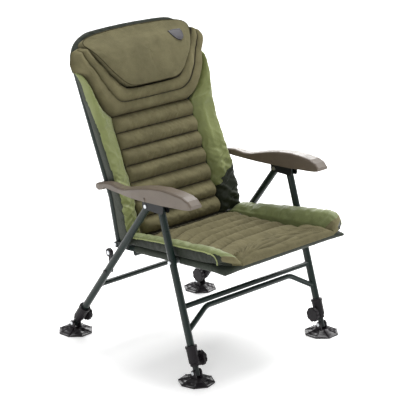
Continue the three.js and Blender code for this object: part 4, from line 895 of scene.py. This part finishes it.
def headrest():
    edge, marks = head_edge()
    rows, held = [], []
    for share in stretches((0.02, 0.85, 34), (0.87, 1, 18)):
        across, up = (HEAD_CENTRE + (edge - HEAD_CENTRE) * share).T
        crown = head_crown(up) * (0.84 + 0.16 * (1 - share**4) ** 0.6)
        soft = 1.2 * soft_noise(across, up, 46, 46, 61) * (1 - share**8)
        crease = soft_noise(marks, share * 30, 11, 30, 62) * np.exp(-((share - 0.93) / 0.08) ** 2)
        rows.append(back_place(across, up, PAD_BACK + crown + soft + crease))
        held.append(np.full(len(marks), float(smooth(0.955, 0.985, share))))
    for height in (0.6, 0.25, 0.01):
        across, up = (HEAD_CENTRE + (edge - HEAD_CENTRE) * (0.995 if height > 0.3 else 0.98)).T
        rows.append(back_place(across, up, PAD_BACK + 0.4 + head_crown(up) * height))
        held.append(np.ones(len(marks)))
    return skin("headrest_pillow", settled(rows, held, 2.5, 0.004, 0.6), [pillow_fleece], smooth_angle=75)


def headrest_piping():
    across, up = (HEAD_CENTRE + (head_edge()[0] - HEAD_CENTRE) * 0.996).T
    path = back_place(across, up, PAD_BACK + head_crown(up) * 0.84 + 0.3)
    return tube("headrest_piping", path, 1.5 * MM, dark_fleece, 8, closed=True)


def badge_plate():
    """A blank shield of moulded plastic with a raised rim, sewn to the pillow."""
    half = np.array([(0, 19), (25, 17), (24, 6), (19, -7), (10, -17), (0, -21)])
    outline = np.vstack([half[1:2] * (-1, 1), half, half[-2:1:-1] * (-1, 1)])
    edge = spaced(outline, 80, closed=True)[0]
    rows = []
    rim = ((0.84, 1), (0.88, 1.9), (0.94, 2.1), (0.98, 1.7), (1, 0.8), (1, -3))
    for share, height in ((0.02, 1), (0.5, 1.1), *rim):
        across, up = (BADGE_PLACE + edge * share).T
        rows.append(back_place(across, up, PAD_BACK + head_crown(up) * BADGE_CROWN_SHARE + height + 1.4))
    return skin("badge_plate", rows, [plate_plastic], smooth_angle=30)


# Wings: wedge bolsters beside the rolls, light on the face and dark on the outer side
WING_TABLE = [
    # run, inner edge, outer height, inner height, reach of the outer edge
    [2, 0.6865, 27, 20, 0.985], [6, 0.6865, 38, 24, 0.988], [11, 0.6865, 47, 23, 0.99],
    [18, 0.6865, 52, 21, 0.995], [28, 0.6865, 56, 19.7, 1], [75, 0.6865, 58, 19.7, 1],
    [122, 0.6865, 55, 19.7, 1], [170, 0.6865, 51, 19.7, 1], [217, 0.6865, 47.5, 19.7, 1],
    [288, 0.6865, 43, 19.7, 1.004], [335, 0.6865, 45, 20, 1.008], [364, 0.688, 49, 24, 1.012],
    [389, 0.808, 53, 31, 1.016], [401, 0.84, 55, 33, 1.018], [434, 0.915, 59, 37, 1.03],
    [467, 0.965, 59, 42, 1.032], [488, 0.985, 54, 40, 1.034], [504, 0.995, 42, 34, 1.036],
    [514, 1.005, 28, 22, 1.038], [522, 1.012, 13, 10, 1.04],
]


def wing_section(inner, outer, height, low, dome):
    """The wing's cross section from the rolls out over its crest and down its outer side."""
    shares = [(0.16, 0.44 + dome), (0.35, 0.76 + dome), (0.55, 0.94), (0.72, 1.02)]
    slope = [(inner + (outer - inner) * across, low + (height - low) * up) for across, up in shares]
    crest = [(inner + (outer - inner) * 0.84, height), (inner + (outer - inner) * 0.93, height * 0.96)]
    side = [(outer - 0.6, height * 0.89), (outer + 0.6, height * 0.77), (outer + 0.8, height * 0.6)]
    foot = [(outer, PAD_BACK + 6), (outer - 0.6, PAD_BACK + 0.3)]
    return np.array([(inner, PAD_BACK + 0.3), (inner, low - 3), *slope, *crest, *side, *foot], float)


def wing(word, side):
    """One wing, crumpled at its lower end, with a dark outer side that also covers the right one's foot."""
    runs = np.linspace(2, 522, 268)
    table = np.array(WING_TABLE)
    values = np.stack([np.interp(runs, table[:, 0], column) for column in table.T[1:]], -1)
    right = side > 0
    rows, slots, held = [], [], []
    for run, (inner_share, height, low, reach) in zip(runs, values):
        section = wing_section(inner_share * HALF + 0.3, reach * HALF, height, low, 0.12 if right else 0.02)
        fine, marks, lengths = spaced(section, 60)
        for _ in range(6):
            fine[2:-1] = evened(fine[1:])
        line = marks / lengths[-1]
        low_end = smooth(225, 130, run) * smooth(2, 22, run)
        crumple = 6.5 * low_end * soft_noise(run + marks * 0.5 * side, marks, 13, 36, 71 + right)
        crumple += 3.2 * low_end * soft_noise(run - marks * 0.7 * side, marks, 7, 22, 77 + right)
        gentle = 0.7 * soft_noise(run, marks, 34, 30, 73 + right)
        hem_line = np.interp(run, [330, 430], [lengths[7], lengths[10]]) / lengths[-1]
        hem = 1.2 * soft_noise(run, marks, 9, 60, 75 + right) * np.exp(-((line - hem_line) / 0.1) ** 2)
        rise = fine[:, 1] + (crumple + gentle + hem) * (smooth(0, 0.3, line) * smooth(1, 0.82, line))
        rows.append(back_place(side * fine[:, 0], run, rise))
        dark = right * smooth(165, 60, run + 12 * soft_noise(run, 0.0, 16, 10, 79)) ** 1.5
        slots.append(line > hem_line + 0.04 - dark)
        seam = np.clip(1.4 - np.abs(marks - lengths[8]) / 3.0, 0, 1)
        held.append(np.maximum(seam, (marks <= lengths[1]) | (marks >= lengths[8])))
    grid = settled(rows, held, 3.0, 0.025, 2.5, ends=(3, 4))
    materials = [light_green, deep_green]
    return skin(f"back_wing_{word}_cover", grid, materials, np.array(slots), smooth_angle=75)


# Slings: sleeves round the tubes and the cloth stretched between them
def sleeve(name, places, along_x, wave, size, seed):
    """A cloth sleeve round a straight stretch of the rails."""
    angle = full_turn(28)
    rows = []
    for x, run in places:
        radius = 12.6 + wave * soft_noise(x if along_x else run, angle * 12, size, 9, seed)
        out = radius * np.cos(angle)
        rows.append(seat_place(x + out * (not along_x), run + out * along_x, radius * np.sin(angle)))
    return skin(name, rows, [sling_cloth])


def two_faced(name, place, x, run, front, thick):
    """A closed sheet of cloth over a grid of places."""
    top, under = place(x, run, front), place(x, run, front - thick)
    return skin(name, np.concatenate([top, under[:, ::-1]], 1), [sling_cloth])


def seat_sling():
    pieces = []
    for side, word in SIDES:
        places = [(side * RAIL_HALF, run) for run in np.linspace(-139, 185, 90)]
        pieces.append(sleeve(f"seat_sling_sleeve_{word}", places, False, 0.5, 16, 81 + (side > 0)))
    places = [(x, FRONT_RAIL) for x in np.linspace(-191, 191, 60)]
    pieces.append(sleeve("seat_sling_front", places, True, 0.45, 18, 84))
    across, run = np.meshgrid(np.linspace(-1, 1, 50), np.linspace(-139, 185, 60))
    x = across * RAIL_HALF
    sag = -1.2 * (1 - across**4) + 0.5 * soft_noise(x, run, 40, 60, 86)
    pieces.append(two_faced("seat_sling_cloth", seat_place, x, run, -12.4 + sag, 1.2))
    x, run = np.meshgrid(np.linspace(-190, 190, 40), np.linspace(FRONT_RAIL, -137, 8))
    pieces.append(two_faced("seat_sling_front_cloth", seat_place, x, run, -12.4, 1.2))
    return pieces + [sling_corner(word, side) for side, word in SIDES]


def sling_corner(word, side):
    """The pointed pocket where the front sleeve and the side sleeve meet over the tube's bend."""
    angle = full_turn(16)
    out, rise = 12.7 * np.cos(angle), 12.7 * np.sin(angle)
    corners = []
    for x, run, across in ((189, FRONT_RAIL, 0), (RAIL_HALF, -141, 1), (205, -178, 0), (228, -160, 1)):
        corners.append(seat_place(side * x + out * across, run + out * (1 - across), rise))
    corners.append(seat_place(side * 247.0, np.array([-196.0, -193, -193]), np.array([-7.0, -3, -11])))
    mesh = bpy.data.meshes.new(f"seat_sling_corner_{word}")
    work = bmesh.new()
    for place in np.vstack(corners):
        work.verts.new(place)
    hull = bmesh.ops.convex_hull(work, input=work.verts)
    inside = [item for item in hull["geom_interior"] if isinstance(item, bmesh.types.BMVert)]
    bmesh.ops.delete(work, geom=inside, context="VERTS")
    bmesh.ops.recalc_face_normals(work, faces=work.faces)
    work.to_mesh(mesh)
    work.free()
    mesh.materials.append(sling_cloth)
    thing = scene_object(f"seat_sling_corner_{word}", mesh)
    shade(thing, 40)
    return thing


def back_sling():
    x, run = np.meshgrid(np.linspace(-HALF, HALF, 60), np.linspace(36, 521.8, 120))
    return two_faced("back_sling_cloth", back_place, x, run, 12.7 + 0.5 * soft_noise(x, run, 50, 60, 91), 1.3)


def pocket_edge(offset, bottom, count):
    """The head pocket's rim: two rounded corners, the right one fuller, and a crowned top."""
    half, corner, top = 224 + offset, 88 + offset, 618 + offset
    points = [(half, bottom)]
    for angle in np.linspace(0, math.pi / 2, 20):
        points.append((half - corner + corner * math.cos(angle), top - corner + corner * math.sin(angle)))
    points += [(x, top) for x in np.linspace(half - corner, 0, 8)[1:]]
    points += [(-x, run) for x, run in points[-2::-1]]
    points = np.array(points)
    away = points - (half - corner, top - corner)
    turn = np.clip(np.arctan2(away[:, 1], away[:, 0]), 0, math.pi / 2)
    points += away / corner * 9.0 * np.sin(2 * turn)[:, None] ** 2 * (points[:, :1] > half - corner)
    points[:, 1] += 5.5 * np.clip(1 - (points[:, 0] / 165) ** 2, 0, 1) * (points[:, 1] > top - 5)
    return spaced(points, count)[:2]


def head_pocket():
    """A padded cloth cap over the top of the back tube: flat rear face, rounded rim, open at the bottom."""
    bottom, middle = 522.0, 560.0
    rim, marks = pocket_edge(12.6, bottom, 200)
    fold = 1.4 * soft_noise(marks, 0.0, 13, 20, 95)
    profile = [(0, 12.3), (0.5, 12.4), (0.93, 12.4), (0.975, 11.3), (0.993, 8), (1, 3), (1, -3),
               (0.993, -8), (0.975, -11.6), (0.93, -12.8), (0.7, -13.3), (0.35, -13.5), (0, -13.5)]
    rows = []
    for share, front in profile:
        x = rim[:, 0] * share
        run = np.maximum(bottom, middle + (rim[:, 1] - middle) * share)
        swell = fold * smooth(0.85, 1.0, share)
        rows.append(back_place(x + swell * np.sign(x) * 0.3, run, front + swell))
    return skin("head_pocket_cover", rows, [sling_cloth], caps=False, smooth_angle=70)


# What each piece rides on and stands for
mat = seat_mat()
dress(mat, "brown_fleece", "seat_pad", "seat_pad_rear", body="seat", fill=0.7)
dress(head_bands(), "brown_fleece", "head_bands", body="backrest", fill=0.7)
dress(headrest(), "brown_fleece", "headrest", body="backrest", fill=0.7)
dress(headrest_piping(), "brown_fleece", body="backrest")
dress(badge_plate(), "black_plastic", body="backrest")
pressed = [(mat, 2.0, 0.5)]
for side, word in SIDES:
    cover, cord_edge = bolster(word, side), bolster_piping(word, side)
    dress(cover, "green_cloth", f"seat_bolster_{word}", body="seat", fill=0.7)
    dress(cord_edge, "green_cloth", body="seat")
    pressed += [(cover, RAIL_TOP, 0.2), (cord_edge, RAIL_TOP, 0.2)]

# The seat cushions get meshes of their own
lift = Vector(seat_place(0, 0, 1) - seat_place(0, 0, 0)).normalized()
for thing, rise, keep in pressed:
    tuple(seat_place(0, 0, rise))
    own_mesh(thing)

dress(back_rolls(), "brown_fleece", "back_pad", "back_pad_lower", fill=0.8)
for side, word in SIDES:
    dress(wing(word, side), "green_cloth", f"back_wing_{word}", f"back_wing_lower_{word}", fill=0.6)
for index, thing in enumerate(seat_sling()):
    dress(thing, "dark_cloth", *(["seat_sling"] if index == 0 else []), body="seat")
dress(back_sling(), "dark_cloth", "back_sling", body="backrest")
dress(head_pocket(), "dark_cloth", "head_pocket", body="backrest")


# Camera at the photograph's angle, as solved from the feet, legs and cross bars
PHOTO_PIXELS, FOCAL_PIXELS = 400, 1785.671
CAMERA_RIGHT, CAMERA_UP, CAMERA_BACK = 0.008705, 0.402329, 5.471561
azimuth, elevation = math.radians(-44.1), math.radians(18.1)
right = Vector((math.cos(azimuth), math.sin(azimuth), 0))
level = Vector((math.sin(azimuth), -math.cos(azimuth), 0))
back = level * math.cos(elevation) + Vector((0, 0, math.sin(elevation)))
up = back.cross(right)
camera_data = bpy.data.cameras.new("camera")
camera = scene_object("camera", camera_data)
camera_data.sensor_width = 36
camera_data.lens = FOCAL_PIXELS / PHOTO_PIXELS * camera_data.sensor_width
camera_data.clip_start, camera_data.clip_end = 0.1, 50
camera.location = right * CAMERA_RIGHT + up * CAMERA_UP + back * CAMERA_BACK + Vector((0, SHIFT * MM, 0))
camera.rotation_mode = "QUATERNION"
camera.rotation_quaternion = Matrix((right, up, back)).transposed().to_quaternion()
scene = bpy.context.scene
scene.camera = camera

# Floor, backdrop and soft studio light
FLOOR_HALF = 400
floor_mesh = bpy.data.meshes.new("floor")
floor_corners = [(x * FLOOR_HALF, y * FLOOR_HALF, 0) for x, y in ((-1, -1), (1, -1), (1, 1), (-1, 1))]
floor_mesh.from_pydata(floor_corners, [], [(0, 1, 2, 3)])
floor = scene_object("floor", floor_mesh)
n = Nodes("pale_floor")
floor_mesh.materials.append(n.set(base=n.greys(n.noise(1.5, 2), 0.94, 0.96), rough=0.9, specular=0.1))
n.shader.inputs["Emission Color"].default_value = (1, 1, 1, 1)
n.shader.inputs["Emission Strength"].default_value = 0.28
floor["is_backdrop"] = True

world = bpy.data.worlds.new("studio")
scene.world = world
world.use_nodes = True
sky = world.node_tree.nodes
dome = sky.new("ShaderNodeValToRGB")
split = sky.new("ShaderNodeSeparateXYZ")
dome.color_ramp.elements[0].color = (0.75, 0.75, 0.75, 1)
dome.color_ramp.elements[1].color = (0.5, 0.5, 0.5, 1)
for place, grey, blue in ((0.05, 0.72, 0.72), (0.09, 0.15, 0.152), (0.35, 0.225, 0.227)):
    dome.color_ramp.elements.new(place).color = (grey, grey, blue, 1)
sky_links = world.node_tree.links
sky_links.new(sky.new("ShaderNodeTexCoord").outputs["Generated"], split.inputs["Vector"])
sky_links.new(split.outputs["Z"], dome.inputs["Fac"])
sky_links.new(dome.outputs["Color"], sky["Background"].inputs["Color"])
sky["Background"].inputs["Strength"].default_value = 1.4


def turned_lamp(name, kind, away):
    """A lamp that shines against the direction away."""
    data = bpy.data.lights.new(name, kind)
    lamp = scene_object(name, data)
    lamp.rotation_mode = "QUATERNION"
    lamp.rotation_quaternion = Vector(away).to_track_quat("Z", "Y")
    return lamp, data


_, sun = turned_lamp("sky", "SUN", (0.45, 0.15, 1.0))
sun.energy = 3.0
sun.angle = math.radians(40)
AREA_LIGHTS = [
    # name, place, target, width and height, power
    ("side", (-2.6, -1.6, 1.4), (0, 0, 0.5), (0.3, 2.2), 13),
    ("key", (1.9, -0.9, 2.2), (0, -0.1, 0.5), (0.9, 0.9), 12),
    ("rear", (2.4, 2.5, 1.7), (0, 0, 0.5), (2.0, 1.2), 55),
]
for name, place, target, size, power in AREA_LIGHTS:
    lamp, data = turned_lamp(name, "AREA", Vector(place) - Vector(target))
    lamp.location = place
    data.shape = "RECTANGLE"
    data.size, data.size_y = size
    data.energy = power

scene.view_settings.view_transform = "Standard"
scene.view_settings.look = "None"

bpy.context.view_layer.update()
low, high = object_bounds()
